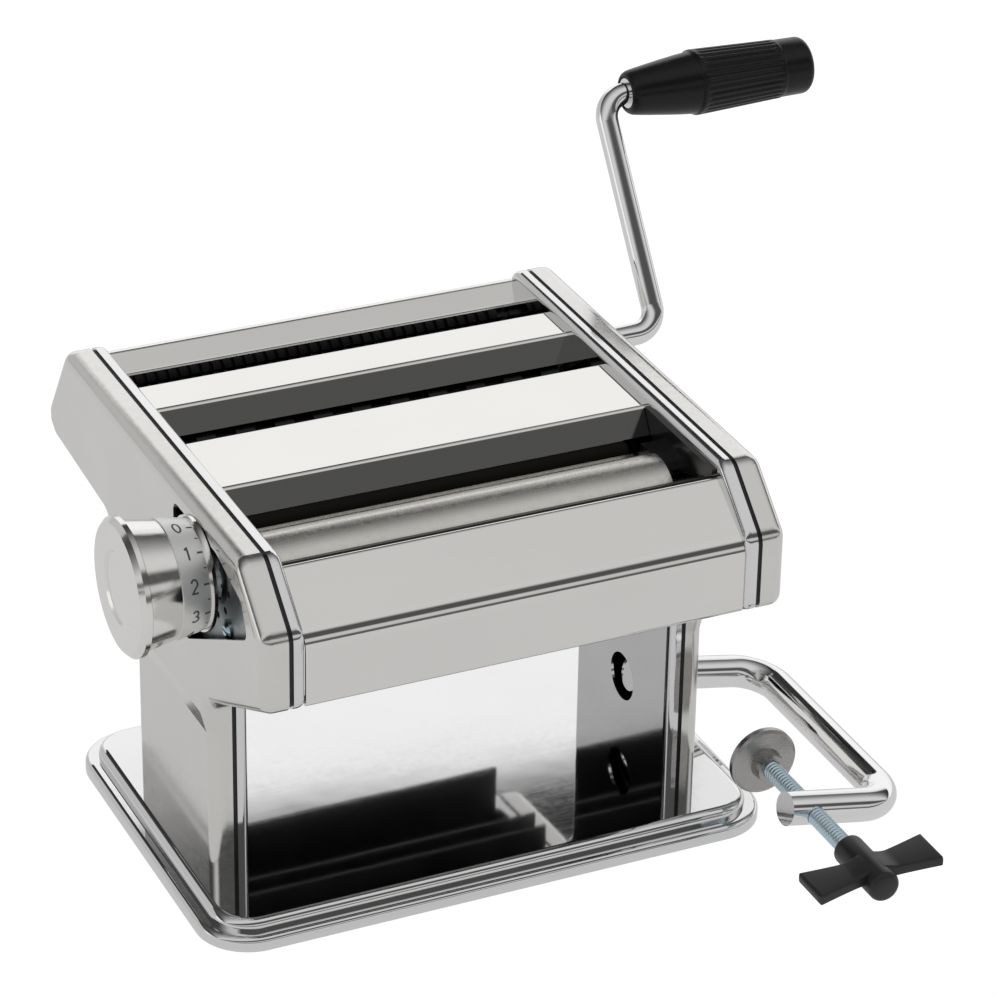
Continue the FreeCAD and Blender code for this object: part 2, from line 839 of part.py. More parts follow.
def make_plates(outline):
    for side, word in SIDES:
        name = word.title() + "Plate"
        body = side_form(outline, name + "Form", side, "seam", TRIM_END, PLATE_END)
        feet = [body, slot_tool(name + "Foot", side, "-leg_front + seam", "leg_rear - seam",
                                "base_height", "base_height + 2 * seam", TRIM_END, PLATE_END)]
        for end in (-1, 1):
            middle = "%d * tab_spacing / 2" % end
            feet.append(slot_tool(name + ("Front" if end < 0 else "Rear") + "Tab", side,
                                  middle + " - tab_width / 2", middle + " + tab_width / 2",
                                  "base_height - tab_depth", "base_height + seam", TRIM_END, PLATE_END))
        solid = fuse(feet, name + "Footed")
        start, end = TRIM_END + " - 1", PLATE_END + " + 1"
        holes = []
        for number, (y, z) in enumerate(FIXED_SHAFTS):
            holes.append(round_tool(name + "Shaft%d" % number, side, y, z, "journal + hole_gap", start, end))
        for rod, (y, z) in RODS.items():
            holes.append(round_tool(name + rod.title() + "Rod", side, y, z, "rod_end", start, end))
        if side == RIGHT:
            holes.append(journal_slot(name + "Slot", side, "journal + hole_gap", start, end))
            holes.append(round_tool(name + "Clamp", side, "clamp_y", "clamp_hole_z", "clamp_hole", start, end))
        else:
            holes.append(slot_tool(name + "Arm", side, FRONT_ROLLER_Y + " - slot_end",
                                   "knob_y + cam_radius + pin_gap + pin_radius + arm_reach"
                                   " + roller_travel + slot_end",
                                   "knob_z - arm_height / 2 - slot_end",
                                   "knob_z + arm_height / 2 + slot_end", start, end))
        node(cut(solid, fuse(holes, name + "Holes"), name), word + "_side_plate")


def window_corners():
    return [("-window_rear", "window_top"), ("-window_brow", "window_top"),
            ("-window_shoulder", "window_shoulder_height"), ("-window_front", "window_front_height"),
            ("-window_low_rear", "window_low"), ("-window_rear", "window_heel")]


def window_tool(name):
    sketch = document.addObject("Sketcher::SketchObject", name + "Outline")
    sketch.Placement = YZ_SKETCH
    draw_corners(sketch, window_corners())
    document.recompute()
    solid = extrude(sketch, name + "Solid", PLATE_END + " + cover_wall", COVER_END + " + 1", LEFT)
    rounds = [(number, value("window_corner")) for number, edge in enumerate(solid.Shape.Edges, start=1)
              if along(edge, 0)]
    return fillet_edges(solid, name, rounds)


def make_covers(outline):
    for side, word in SIDES:
        name = word.title() + "Cover"
        outer = side_form(outline, name + "Outer", side, None, PLATE_END, COVER_END, "0 * seam")
        outer = round_face(outer, name + "OuterRound", "cover_round", side)
        inner = side_form(outline, name + "Inner", side, "cover_wall", PLATE_END + " - 1", COVER_INSIDE,
                          "cover_wall")
        inner = round_face(inner, name + "InnerRound", "cover_round - cover_wall", side)
        start, end = COVER_INSIDE + " - leg_recess - 1", COVER_END + " + 1"
        holes = [inner]
        if side == RIGHT:
            for number, (y, z) in enumerate(CRANKED_SHAFTS):
                holes.append(round_tool(name + "Crank%d" % number, side, y, z, "crank_hole", start, end))
            holes.append(round_tool(name + "Clamp", side, "clamp_y", "clamp_hole_z", "clamp_hole", start, end))
        else:
            holes.append(window_tool("Window"))
        node(cut(outer, fuse(holes, name + "Holes"), name), word + "_cover")


def add_hole(body, name, y, z, radius, start, length, side):
    """A round hole along X, from a plane outwards."""
    sketch = sketch_on(body, name, "YZ_Plane", "%d * (%s)" % (side, start))
    draw_circle(sketch, y, z, radius)
    pocket(body, sketch, length, backwards=side == RIGHT)


def make_bearing_plates():
    corners = [("-bearing_front", "bearing_front_low"), ("-bearing_knee", "bearing_low"),
               ("bearing_mid", "bearing_low"), ("neck_rear", "bearing_rear_low"),
               ("bearing_rear", "bearing_rear_low + 1.5"), ("bearing_rear", "bearing_rear_high"),
               ("bearing_top_rear", "bearing_top"), ("-bearing_front", "bearing_top")]
    for side, word in SIDES:
        name = word.title() + "Bearing"
        start = "inner_face + trim_wall"
        depth = "trim_depth - trim_wall"
        body = slab(name, "YZ_Plane", corners, "%d * (%s)" % (side, start), depth, side == LEFT)
        for number, (y, z) in enumerate(FIXED_SHAFTS):
            add_hole(body, name + "Shaft%d" % number, y, z, "journal + journal_gap", start, depth, side)
        for rod, (y, z) in RODS.items():
            add_hole(body, name + rod.title() + "Rod", y, z, "rod_radius", start, depth, side)
        slot = sketch_on(body, name + "Slot", "YZ_Plane", "%d * (%s)" % (side, start))
        draw_corners(slot, box_corners(FRONT_ROLLER_Y + " - block_front - slot_end",
                                       FRONT_ROLLER_Y + " + block_rear + roller_travel + slot_end",
                                       "roller_height - block_below - slot_gap",
                                       "roller_height + block_above + slot_gap"))
        pocket(body, slot, depth, backwards=side == RIGHT)
        node(body, word + "_bearing_plate")


# Head between the sides

def sheet_piece(name, corners, open_sides, folds):
    """A folded sheet across the machine: a block hollowed out from its ends and its open sides."""
    body = slab(name, "YZ_Plane", corners, "-inner_face", "2 * inner_face")
    for corner, radius in folds:
        fold_y, fold_z = value(corners[corner][0]), value(corners[corner][1])
        round_edges(body, radius, lambda edge: along(edge, 0)
                    and math.hypot(edge.Vertexes[0].Y - fold_y, edge.Vertexes[0].Z - fold_z) < 0.01)
    base = body.Tip
    points = [Vector(0, value(y), value(z)) for y, z in corners]
    middles = [(points[index] + points[(index + 1) % len(points)]) / 2 for index in open_sides]
    ends = value("inner_face")

    def is_open(face):
        centre = face.CenterOfMass
        return abs(abs(centre.x) - ends) < 0.001 or any(centre.distanceToPoint(middle) < 0.01 for middle in middles)

    shell = body.newObject("PartDesign::Thickness", name + "Sheet")
    shell.Base = (base, faces_where(base.Shape, is_open))
    bind(shell, "Value", "sheet")
    shell.Reversed = True
    shell.Mode = 0
    shell.Join = 1
    return settle(body)


def make_sheets():
    inset = "panel_inset"
    front = sheet_piece("FrontPanel", [
        ("-(%s)" % "panel_top_front - 1", "panel_top - panel_lip"),
        ("-panel_top_front", "panel_top"),
        ("-nose_front + " + inset, "nose_high - nose_fold"),
        ("-nose_front + " + inset, "nose_low - " + inset),
        ("-nose_front + %s + panel_return" % inset, "nose_low - %s" % inset)], (4,),
        ((1, "panel_edge"), (2, "panel_fold"), (3, "panel_edge")))
    node(front, "front_panel")
    slope = "((tail_rear - top_rear) / (head_top - tail_high))"
    rear = sheet_piece("RearPanel", [
        ("chute_front", "chute_low"),
        ("chute_front + chute_hem", "chute_low"),
        ("tail_under - panel_return", "tail_under_height + panel_inset"),
        ("tail_under", "tail_under_height + panel_inset"),
        ("tail_rear - panel_inset", "tail_low + panel_inset / 2"),
        ("tail_rear - panel_inset", "tail_high"),
        ("tail_rear - panel_inset - (panel_top - tail_high) * %s" % slope, "panel_top"),
        ("chute_rear", "panel_top"),
        ("chute_front", "chute_high")], (0, 1), ((6, "panel_edge"), (7, "panel_edge"), (8, "panel_edge")))
    node(rear, "rear_panel")
    for word, rear_edge, front_edge in (("front", "front_guide_rear", "front_guide_front"),
                                        ("rear", "rear_guide_rear", "rear_guide_front")):
        corners = [(front_edge + " - guide_run", "guide_top - guide_drop"),
                   (rear_edge + " + guide_back_run", "guide_top - guide_drop + 0.6"),
                   (rear_edge, "guide_top"),
                   (front_edge, "guide_top")]
        if word == "front":
            corners = [(front_edge + " - guide_run - lip_run", "guide_top - guide_drop - lip_drop")] + corners[1:] + corners[:1]
        guide = sheet_piece(word.title() + "Guide", corners, (0,), ((2, "guide_fold"), (3, "guide_fold")))
        node(guide, word + "_guide")


def make_guard():
    guard = slab("FeedGuard", "YZ_Plane", [
        ("-guard_front", "guard_high - guard_wall"), ("-guard_rear", "guard_low - guard_wall"),
        ("-guard_rear", "guard_low"), ("-guard_front + 1", "guard_high")], "-inner_face", "2 * inner_face")
    node(guard, "feed_guard")


def make_cheeks():
    nip = "(rear_roller_y - roller_radius - roller_gap / 2)"
    corners = [(FRONT_ROLLER_Y + " - cheek_front", "cheek_top - cheek_slope"),
               (nip + " - cheek_tongue - cheek_shoulder", "roller_height + cheek_rise"),
               (nip + " - cheek_tongue", "cheek_low"),
               (nip + " + cheek_tongue", "cheek_low"),
               (FRONT_ROLLER_Y + " + cheek_rear", "cheek_top"),
               (FRONT_ROLLER_Y + " - cheek_front + cheek_slope", "cheek_top")]
    liner = [(FRONT_ROLLER_Y + " - cheek_front", "cheek_top - cheek_slope"),
             (FRONT_ROLLER_Y + " + cheek_rear - cheek_slope", "cheek_top - cheek_slope"),
             (FRONT_ROLLER_Y + " + cheek_rear", "cheek_top"),
             ("front_guide_front - guide_run - liner_gap", "guide_top - guide_drop"),
             ("front_guide_front - liner_gap", "guide_top"),
             ("-guard_front", "guide_top"),
             ("-guard_front", "guard_high + 2 * liner_gap"),
             ("-guard_rear + liner_gap", "guard_low + liner_gap")]
    for side, word in SIDES:
        start = "work_length / 2 + cheek_gap"
        cheek = slab(word.title() + "Cheek", "YZ_Plane", corners, "%d * (%s)" % (side, start),
                     "inner_face - work_length / 2 - cheek_gap", side == LEFT)
        wall = sketch_on(cheek, word.title() + "Liner", "YZ_Plane", "%d * (inner_face - liner_wall)" % side)
        draw_corners(wall, liner)
        pad(cheek, wall, "liner_wall", side == LEFT)
        node(cheek, word + "_cheek")


def make_rods():
    for word, (y, z) in RODS.items():
        inside, outside = TRIM_END, PLATE_END
        head = outside + " + rod_head_depth"
        zero = "0 * seam"
        rod = turned(word.title() + "Rod", [
            ("-(%s)" % head, zero), (head, zero), (head, "rod_head"), (outside, "rod_head"),
            (outside, "rod_end"), (inside, "rod_end"), (inside, "rod_radius"),
            ("-(%s)" % inside, "rod_radius"), ("-(%s)" % inside, "rod_end"),
            ("-(%s)" % outside, "rod_end"), ("-(%s)" % outside, "rod_head"), ("-(%s)" % head, "rod_head")])
        place(rod, zero, y, z)
        node(rod, word + "_tie_rod")


def make_scrapers():
    """A strip below each roller, just clear of it."""
    for word, axis, hand in (("front", FRONT_ROLLER_Y, -1), ("rear", "rear_roller_y", 1)):
        near = "(%s + %d * (scraper_offset - scraper_wall / 2))" % (axis, hand)
        far = "(%s + %d * (scraper_offset + scraper_wall / 2))" % (axis, hand)
        left, right = (near, far) if hand > 0 else (far, near)
        top = ("(roller_height - sqrt((roller_radius + scraper_gap)^2"
               " - (scraper_offset - scraper_wall / 2)^2))")
        strip = slab(word.title() + "Scraper", "YZ_Plane", box_corners(left, right, "scraper_low", top),
                     "-inner_face", "2 * inner_face")
        node(strip, word + "_scraper")


def make_comb(word, axis, hand, pitch, first):
    """A strip with teeth that stand in the grooves of a cutter."""
    name = "".join(part.title() for part in word.split("_"))
    near = "(%s + %d * (comb_offset - scraper_wall / 2))" % (axis, hand)
    far = "(%s + %d * (comb_offset + scraper_wall / 2))" % (axis, hand)
    left, right = (near, far) if hand > 0 else (far, near)
    inner = "(comb_offset - scraper_wall / 2)"
    shoulder = "(cutter_height - sqrt((cutter_radius + scraper_gap)^2 - %s^2))" % inner
    tip = "(cutter_height - sqrt((cutter_core + scraper_gap)^2 - %s^2))" % inner
    body = slab(name, "YZ_Plane", box_corners(left, right, "comb_low", shoulder),
                "-inner_face", "2 * inner_face")
    start = "(-work_length / 2 + %s + side_gap + comb_play / 2)" % first
    teeth = sketch_on(body, name + "Tooth", "YZ_Plane", start)
    draw_corners(teeth, box_corners(left, right, "comb_low + comb_root", tip))
    tooth = pad(body, teeth, "%s / 2 - comb_play" % pitch)
    repeat(body, tooth, teeth, pitch, "round(work_length / (%s))" % pitch)
    node(body, word)


def make_combs():
    for word, axis, pitch in (("wide", "wide_y", "wide_pitch"), ("narrow", "narrow_y", "narrow_pitch")):
        make_comb(word + "_comb_front", axis, -1, pitch, "%s / 2" % pitch)
        make_comb(word + "_comb_rear", "(%s + cutter_spacing)" % axis, 1, pitch, "0 * %s" % pitch)


# Rollers, cutters and gears

def make_shaft(name, label, radius, left_end, right_end, y, z):
    zero = "0 * seam"
    half = "work_length / 2"
    body = turned(name, [
        ("-(%s)" % left_end, zero), (right_end, zero), (right_end, "journal"), (half, "journal"),
        (half, radius), ("-" + half, radius), ("-" + half, "journal"), ("-(%s)" % left_end, "journal")])
    place(body, zero, y, z)
    return node(body, label)


def add_rings(body, pitch, first):
    """The cutting rings round a cutter's core."""
    ring = sketch_on(body, body.Name + "Ring", "YZ_Plane",
                     "-work_length / 2 + %s + side_gap" % first)
    draw_circle(ring, "0 * seam", "0 * seam", "cutter_radius")
    feature = pad(body, ring, "%s / 2 - 2 * side_gap" % pitch)
    repeat(body, feature, ring, pitch, "round(work_length / (%s))" % pitch)


def make_gear(name, label, y, z, pitch_radius, teeth, height, root_width, tip_width, bore, turned_by=None):
    """A spur gear: a disc, one tooth pointing to the back, and copies of it all round."""
    body = new_body(name)
    zero = "0 * seam"
    root = "(%s - (%s) / 2 - tooth_clearance / 2)" % (pitch_radius, height)
    tip = "(%s + (%s) / 2 - tooth_clearance / 2)" % (pitch_radius, height)
    disc = sketch_on(body, name + "Disc", "YZ_Plane", GEAR_START)
    draw_circle(disc, zero, zero, root)
    pad(body, disc, "gear_width")
    tooth = sketch_on(body, name + "Tooth", "YZ_Plane", GEAR_START)
    draw_corners(tooth, [(root + " - tooth_sink", "-(%s) / 2" % root_width), (tip, "-(%s) / 2" % tip_width),
                         (tip, "%s / 2" % tip_width), (root + " - tooth_sink", "%s / 2" % root_width)])
    feature = pad(body, tooth, "gear_width")
    pattern = body.newObject("PartDesign::PolarPattern", name + "Teeth")
    pattern.Originals = [feature]
    pattern.Axis = (tooth, ["N_Axis"])
    pattern.Angle = 360
    bind(pattern, "Occurrences", teeth)
    body.Tip = pattern
    settle(pattern)
    add_hole(body, name + "Bore", zero, zero, bore, GEAR_START, "gear_width", RIGHT)
    body.Placement.Rotation = FreeCAD.Rotation(Vector(1, 0, 0), 1)
    bind(body, "Placement.Rotation.Angle", turned_by or zero)
    place(body, zero, y, z)
    node(body, label)


def make_socket(name, label, y, z):
    """The square socket on a shaft's end that the crank fits."""
    zero = "0 * seam"
    body = turned(name, [(SOCKET_START, zero), (SOCKET_START + " + socket_length", zero),
                         (SOCKET_START + " + socket_length", "socket_radius"), (SOCKET_START, "socket_radius")])
    hole = sketch_on(body, name + "Hole", "YZ_Plane", SOCKET_START + " + socket_floor")
    half = "socket_square / 2"
    draw_corners(hole, box_corners("-" + half, half, "-" + half, half))
    pocket(body, hole, "socket_length - socket_floor", backwards=True)
    place(body, zero, y, z)
    node(body, label)


def make_rollers():
    clear_end = TRIM_END + " - block_side_gap"
    gear_end = GEAR_START + " + gear_width"
    rear = ("rear_roller_y", "roller_height")
    front = (FRONT_ROLLER_Y, "roller_height")
    make_shaft("RearRoller", "rear_roller", "roller_radius", PLATE_END, SOCKET_START, *rear)
    make_shaft("FrontRoller", "front_roller", "roller_radius", clear_end, gear_end, *front)
    sizes = (ROLLER_PITCH_RADIUS, "roller_teeth", "roller_tooth", "roller_tooth_root", "roller_tooth_tip")
    make_gear("FrontRollerGear", "front_roller_gear", *front, *sizes, "journal")
    make_gear("RearRollerGear", "rear_roller_gear", *rear, *sizes, "socket_radius", "180 / roller_teeth")
    make_socket("RollerSocket", "roller_crank_socket", *rear)


def make_cutters():
    gear_end = GEAR_START + " + gear_width"
    sizes = (CUTTER_PITCH_RADIUS, "cutter_teeth", "cutter_tooth", "cutter_tooth_root", "cutter_tooth_tip")
    for word, y, pitch in (("wide", "wide_y", "wide_pitch"), ("narrow", "narrow_y", "narrow_pitch")):
        name = word.title()
        front = (y, "cutter_height")
        rear = ("(%s + cutter_spacing)" % y, "cutter_height")
        cutter = make_shaft(name + "Front", word + "_cutter_front", "cutter_core", PLATE_END, SOCKET_START, *front)
        add_rings(cutter, pitch, "0 * " + pitch)
        cutter = make_shaft(name + "Rear", word + "_cutter_rear", "cutter_core", PLATE_END, gear_end, *rear)
        add_rings(cutter, pitch, pitch + " / 2")
        make_gear(name + "FrontGear", word + "_gear_front", *front, *sizes, "socket_radius")
        make_gear(name + "RearGear", word + "_gear_rear", *rear, *sizes, "journal", "180 / cutter_teeth")
        make_socket(name + "Socket", word + "_crank_socket", *front)


# Carriage that carries the front roller

def make_blocks():
    left = FRONT_ROLLER_Y + " - block_front"
    right = FRONT_ROLLER_Y + " + block_rear"
    for side, word in SIDES:
        name = word.title() + "Block"
        start = "inner_face + trim_wall + block_side_gap"
        depth = "trim_depth - trim_wall - 2 * block_side_gap"
        body = slab(name, "YZ_Plane",
                    box_corners(left, right, "roller_height - block_below", "roller_height + block_above"),
                    "%d * (%s)" % (side, start), depth, side == LEFT)
        add_hole(body, name + "Bore", FRONT_ROLLER_Y, "roller_height", "journal + journal_gap", start, depth, side)
        add_hole(body, name + "Bar", FRONT_ROLLER_Y, "roller_height - bar_drop", "bar_radius", start, depth, side)
        if side == LEFT:
            add_follower(body, right)
        node(body, word + "_roller_block")


def add_follower(body, block_end):
    """The arm through the side plate and the pin that the cam pushes."""
    pin_y = "knob_y + cam_radius + pin_gap + pin_radius"
    low, high = "knob_z - arm_height / 2", "knob_z + arm_height / 2"
    start = "(%s) - arm_root" % block_end
    root = sketch_on(body, "FollowerRoot", "YZ_Plane", "-(%s - block_side_gap - arm_sink)" % TRIM_END)
    draw_corners(root, box_corners(start, block_end, low, high))
    pad(body, root, "2 * block_side_gap + arm_sink", backwards=True)
    arm = sketch_on(body, "FollowerArm", "YZ_Plane", "-(%s + block_side_gap)" % TRIM_END)
    draw_corners(arm, box_corners(start, pin_y + " + arm_reach", low, high))
    pad(body, arm, "plate_wall - block_side_gap", backwards=True)
    pin = sketch_on(body, "FollowerPin", "YZ_Plane", "-(%s)" % PLATE_END)
    draw_circle(pin, pin_y, "knob_z", "pin_radius")
    pad(body, pin, "cam_gap + cam_depth - pin_end_gap", backwards=True)


def make_carriage_bar():
    zero = "0 * seam"
    end = TRIM_END + " - block_side_gap"
    bar = turned("CarriageBar", [("-(%s)" % end, zero), (end, zero), (end, "bar_radius"),
                                 ("-(%s)" % end, "bar_radius")])
    place(bar, zero, FRONT_ROLLER_Y, "roller_height - bar_drop")
    node(bar, "carriage_bar")


# Thickness regulator and its knob

def cam_points():
    """The cam's outline: a spiral that rises evenly over the knob's turn, then drops back."""
    low = value("cam_radius")
    rise = value("roller_travel")
    turn = value("cam_turn")
    steps = 16
    points = []
    for index in range(steps + 1):
        angle = turn * index / steps
        points.append((low + rise * angle / turn, -math.radians(angle)))
    rest = 360 - turn
    for index in range(1, 4):
        part = index / 4
        points.append((low + rise * (1 - part), -math.radians(turn + rest * part)))
    points.append(points[0])
    points.reverse()
    return [Vector(radius * math.cos(angle), radius * math.sin(angle), 0) for radius, angle in points]


def make_regulator():
    shaft = new_body("DialShaft")
    zero = "0 * seam"
    cam_start = "(%s + cam_gap)" % PLATE_END
    cam = sketch_on(shaft, "Cam", "YZ_Plane", "-" + cam_start)
    points = cam_points()
    for index in range(0, len(points) - 1, 2):
        cam.addGeometry(Part.Arc(points[index], points[index + 1], points[index + 2]), False)
    for index in range(cam.GeometryCount):
        following = (index + 1) % cam.GeometryCount
        cam.addConstraint(Sketcher.Constraint("Coincident", index, 2, following, 1))
    pad(shaft, cam, "cam_depth", backwards=True)
    stem = sketch_on(shaft, "Stem", "YZ_Plane", "-" + cam_start)
    draw_circle(stem, zero, zero, "dial_shaft")
    pad(shaft, stem, "dial_shaft_end - %s" % cam_start, backwards=True)
    head = sketch_on(shaft, "Head", "YZ_Plane", "-(dial_shaft_end - shaft_head_depth)")
    draw_circle(head, zero, zero, "shaft_head")
    pad(shaft, head, "shaft_head_depth", backwards=True)
    place(shaft, zero, "knob_y", "knob_z")
    node(shaft, "dial_shaft")


def make_dial_plate():
    corners = [("-window_rear + window_cover", "window_top + 1"),
               ("-window_brow - 1", "window_top + 1"),
               ("-window_shoulder - window_cover", "window_shoulder_height + 1"),
               ("-window_front - window_cover", "window_front_height - 1"),
               ("-window_low_rear", "window_low - window_cover - 1"),
               ("-window_rear + window_cover", "window_heel - window_cover - 1")]
    plate = slab("DialPlate", "YZ_Plane", corners, "-dial_plate", "dial_plate_wall", True)
    bush = sketch_on(plate, "DialBush", "YZ_Plane", "-dial_plate")
    draw_circle(bush, "knob_y", "knob_z", "dial_bush")
    pad(plate, bush, "dial_plate_wall + dial_bush_depth", backwards=True)
    feet = sketch_on(plate, "DialFeet", "YZ_Plane", "-%s" % PLATE_END)
    places = (("low_screw_y", "low_screw_z"), ("rear_screw_y", "rear_screw_z"))
    for y, z in places:
        draw_circle(feet, y, z, "foot_radius")
    pad(plate, feet, "dial_plate - %s" % PLATE_END, backwards=True)
    add_hole(plate, "DialBore", "knob_y", "knob_z", "dial_shaft + journal_gap", "dial_plate",
             "dial_plate_wall + dial_bush_depth", LEFT)
    hole = sketch_on(plate, "Detent", "YZ_Plane", "-dial_plate")
    draw_circle(hole, "knob_y", "knob_z + detent_circle", "detent_radius")
    first = pocket(plate, hole, "dial_plate_wall")
    return plate, first


def make_detents(plate, first):
    """The row of holes round the bush, one for each thickness."""
    marks = sketch_on(plate, "DetentRing", "YZ_Plane", "-dial_plate")
    count = int(value("detents"))
    for index in range(1, count):
        angle = "(%d * cam_turn / (detents - 1))" % index
        draw_circle(marks, "knob_y - detent_circle * sin(%s)" % angle,
                    "knob_z + detent_circle * cos(%s)" % angle, "detent_radius")
    pocket(plate, marks, "dial_plate_wall")
    node(plate, "dial_plate")


def make_dial_screws():
    zero = "0 * seam"
    end = "(dial_plate + dial_plate_wall)"
    for word, y, z in (("low", "low_screw_y", "low_screw_z"), ("rear", "rear_screw_y", "rear_screw_z")):
        screw = turned(word.title() + "Screw", [
            ("-(%s + screw_depth)" % end, zero), ("-" + end, zero), ("-" + end, "screw_radius"),
            ("-(%s + screw_depth / 2)" % end, "screw_radius"),
            ("-(%s + screw_depth)" % end, "screw_radius / 2")])
        slot = sketch_on(screw, word.title() + "ScrewSlot", "YZ_Plane", "-(%s + screw_depth)" % end)
        draw_corners(slot, box_corners("-screw_radius", "screw_radius", "-screw_radius / 8", "screw_radius / 8"))
        pocket(screw, slot, "screw_depth / 2", backwards=True)
        place(screw, zero, y, z)
        node(screw, "dial_screw_" + word)


def make_knob():
    zero = "0 * seam"
    bore = "(dial_shaft + journal_gap)"
    body = turned("KnobBody", [
        ("-knob_start", bore), ("-knob_start", "knob_neck"),
        ("-(knob_back - knob_flange_depth)", "knob_neck"),
        ("-(knob_back - knob_flange_depth)", "knob_flange"), ("-knob_back", "knob_flange"),
        ("-knob_back", "knob_back_radius"), ("-knob_front", "knob_front_radius"),
        ("-knob_front", "knob_well"), ("-knob_shoulder", "knob_well"), ("-knob_shoulder", bore)])
    place(body, zero, "knob_y", "knob_z")
    node(body, "knob_body")

    cap = turned("KnobCap", [
        ("-knob_front", zero), ("-knob_front", "knob_groove_radius"),
        ("-(knob_front + knob_groove_depth)", "knob_groove_radius"),
        ("-(knob_front + knob_groove_depth)", "knob_radius"),
        ("-(knob_face - knob_edge)", "knob_radius"), ("-knob_face", "knob_radius - knob_edge"),
        ("-knob_face", "knob_dish_radius"), ("-(knob_face - knob_dish)", "knob_dish_radius - 1"),
        ("-(knob_face - knob_dish)", zero)])
    place(cap, zero, "knob_y", "knob_z")
    node(cap, "knob_cap")

    slope = "((knob_front_radius - knob_back_radius) / (knob_front - knob_back))"
    near = "(knob_back_radius + %s * (dial_start - knob_back))" % slope
    far = "(knob_back_radius + %s * (dial_start + dial_depth - knob_back))" % slope
    ring = turned("DialRing", [
        ("-dial_start", near), ("-dial_start", near + " + dial_wall"),
        ("-(dial_start + dial_depth)", far + " + dial_wall"), ("-(dial_start + dial_depth)", far)])
    place(ring, zero, "knob_y", "knob_z")
    node(ring, "dial_ring")


# Bent rods

def bent_path(points, radius):
    """Straight runs joined by arcs that touch them."""
    edges = []
    start = points[0]
    for before, corner, after in zip(points, points[1:], points[2:]):
        back = (before - corner).normalize()
        ahead = (after - corner).normalize()
        half = back.getAngle(ahead) / 2
        reach = radius / math.tan(half)
        entry = corner + back * reach
        leave = corner + ahead * reach
        centre = corner + (back + ahead).normalize() * (radius / math.sin(half))
        middle = centre + (corner - centre).normalize() * radius
        edges.append(Part.LineSegment(start, entry).toShape())
        edges.append(Part.Arc(entry, middle, leave).toShape())
        start = leave
    edges.append(Part.LineSegment(start, points[-1]).toShape())
    return Part.Wire(edges)


def bent_rod(name, points, radius, bend):
    """A round rod swept along straight runs and bends."""
    path = document.addObject("Part::Feature", name + "Path")
    path.Shape = bent_path(points, bend)
    section = document.addObject("Part::Feature", name + "Section")
    run = points[1] - points[0]
    section.Shape = Part.Wire(Part.Circle(points[0], run, radius).toShape())
    rod = document.addObject("Part::Sweep", name)
    rod.Sections = [section]
    rod.Spine = (path, ["Edge%d" % (index + 1) for index in range(len(path.Shape.Edges))])
    rod.Solid = True
    rod.Frenet = False
    return settle(rod)


def crank_corners():
    """The crank's corners: out of the socket, up the arm, and out along the grip."""
    lean = math.radians(value("crank_lean"))
    arm = value("crank_arm")
    y = value("narrow_y")
    z = value("cutter_height")
    top_y = y + arm * math.sin(lean)
    top_z = z + arm * math.cos(lean)
    plane = value("crank_plane")
    start = value(SOCKET_START + " + socket_length + shank_gap")
    grip_end = value("grip_start + grip_length - grip_wall - collar_gap")
    return [Vector(start, y, z), Vector(plane, y, z), Vector(plane, top_y, top_z),
            Vector(grip_end, top_y, top_z)]


def make_crank():
    zero = "0 * seam"
    corners = crank_corners()
    rod = bent_rod("CrankRod", corners, value("crank_radius"), value("crank_bend"))
    start = "(%s + socket_floor + shank_gap)" % SOCKET_START
    half = "shank_square / 2"
    shank = slot_tool("CrankShank", RIGHT, "narrow_y - " + half, "narrow_y + " + half,
                      "cutter_height - " + half, "cutter_height + " + half,
                      start, "%s + socket_length + shank_gap" % SOCKET_START)
    node(fuse([rod, shank], "Crank"), "crank_rod")

    collar_start = "(grip_start + collar_gap)"
    collar_end = "(grip_start + collar_gap + collar_depth)"
    collar = turned("CrankCollar", [(collar_start, "crank_radius"), (collar_end, "crank_radius"),
                                    (collar_end, "collar_radius"), (collar_start, "collar_radius")])
    top_y = "narrow_y + crank_arm * sin(crank_lean)"
    top_z = "cutter_height + crank_arm * cos(crank_lean)"
    place(collar, zero, top_y, top_z)
    node(collar, "crank_collar")

    bore = "(crank_radius + journal_gap)"
    end = "(grip_start + grip_length)"
    bottom = "(%s - grip_wall)" % end
    mouth = "(collar_radius + collar_gap)"
    mouth_end = "(grip_start + collar_depth + 2 * collar_gap)"
    grip = turned("CrankGrip", [
        ("grip_start", mouth), (mouth_end, mouth), (mouth_end, bore), (bottom, bore), (bottom, zero),
        (end, zero), (end, "grip_end - grip_round"), (end + " - grip_round", "grip_end"),
        ("grip_start + grip_taper", "grip_large"), ("grip_start + grip_taper - grip_step", "grip_waist"),
        ("grip_start + grip_lip", "grip_small"), ("grip_start", "grip_small - grip_lip")])
    place(grip, zero, top_y, top_z)
    node(grip, "crank_grip")


# Table clamp

def clamp_corners():
    """The clamp rod's corners: out of the leg, along the run, and back over the screw."""
    droop = math.radians(value("clamp_droop"))
    outwards = Vector(math.cos(droop), 0, -math.sin(droop))
    start = Vector(value("clamp_end_x"), value("clamp_y"), value("clamp_end_z"))
    first = start + outwards * ((value("clamp_reach_x") - start.x) / outwards.x)
    second = first - Vector(0, value("clamp_run"), 0)
    end = second - outwards * value("clamp_return")
    return start, first, second, end, outwards


CLAMP_SCREW_Z = "(clamp_end_z - (clamp_screw_x - clamp_end_x) * tan(clamp_droop))"
CLAMP_SCREW_Y = "(clamp_y - clamp_run)"


def y_turned(name, profile):
    """A body turned about Y from pairs of radius and length."""
    body = new_body(name)
    sketch = sketch_on(body, name + "Profile", "XY_Plane")
    draw_corners(sketch, profile)
    spin(body, sketch, "V_Axis")
    return body


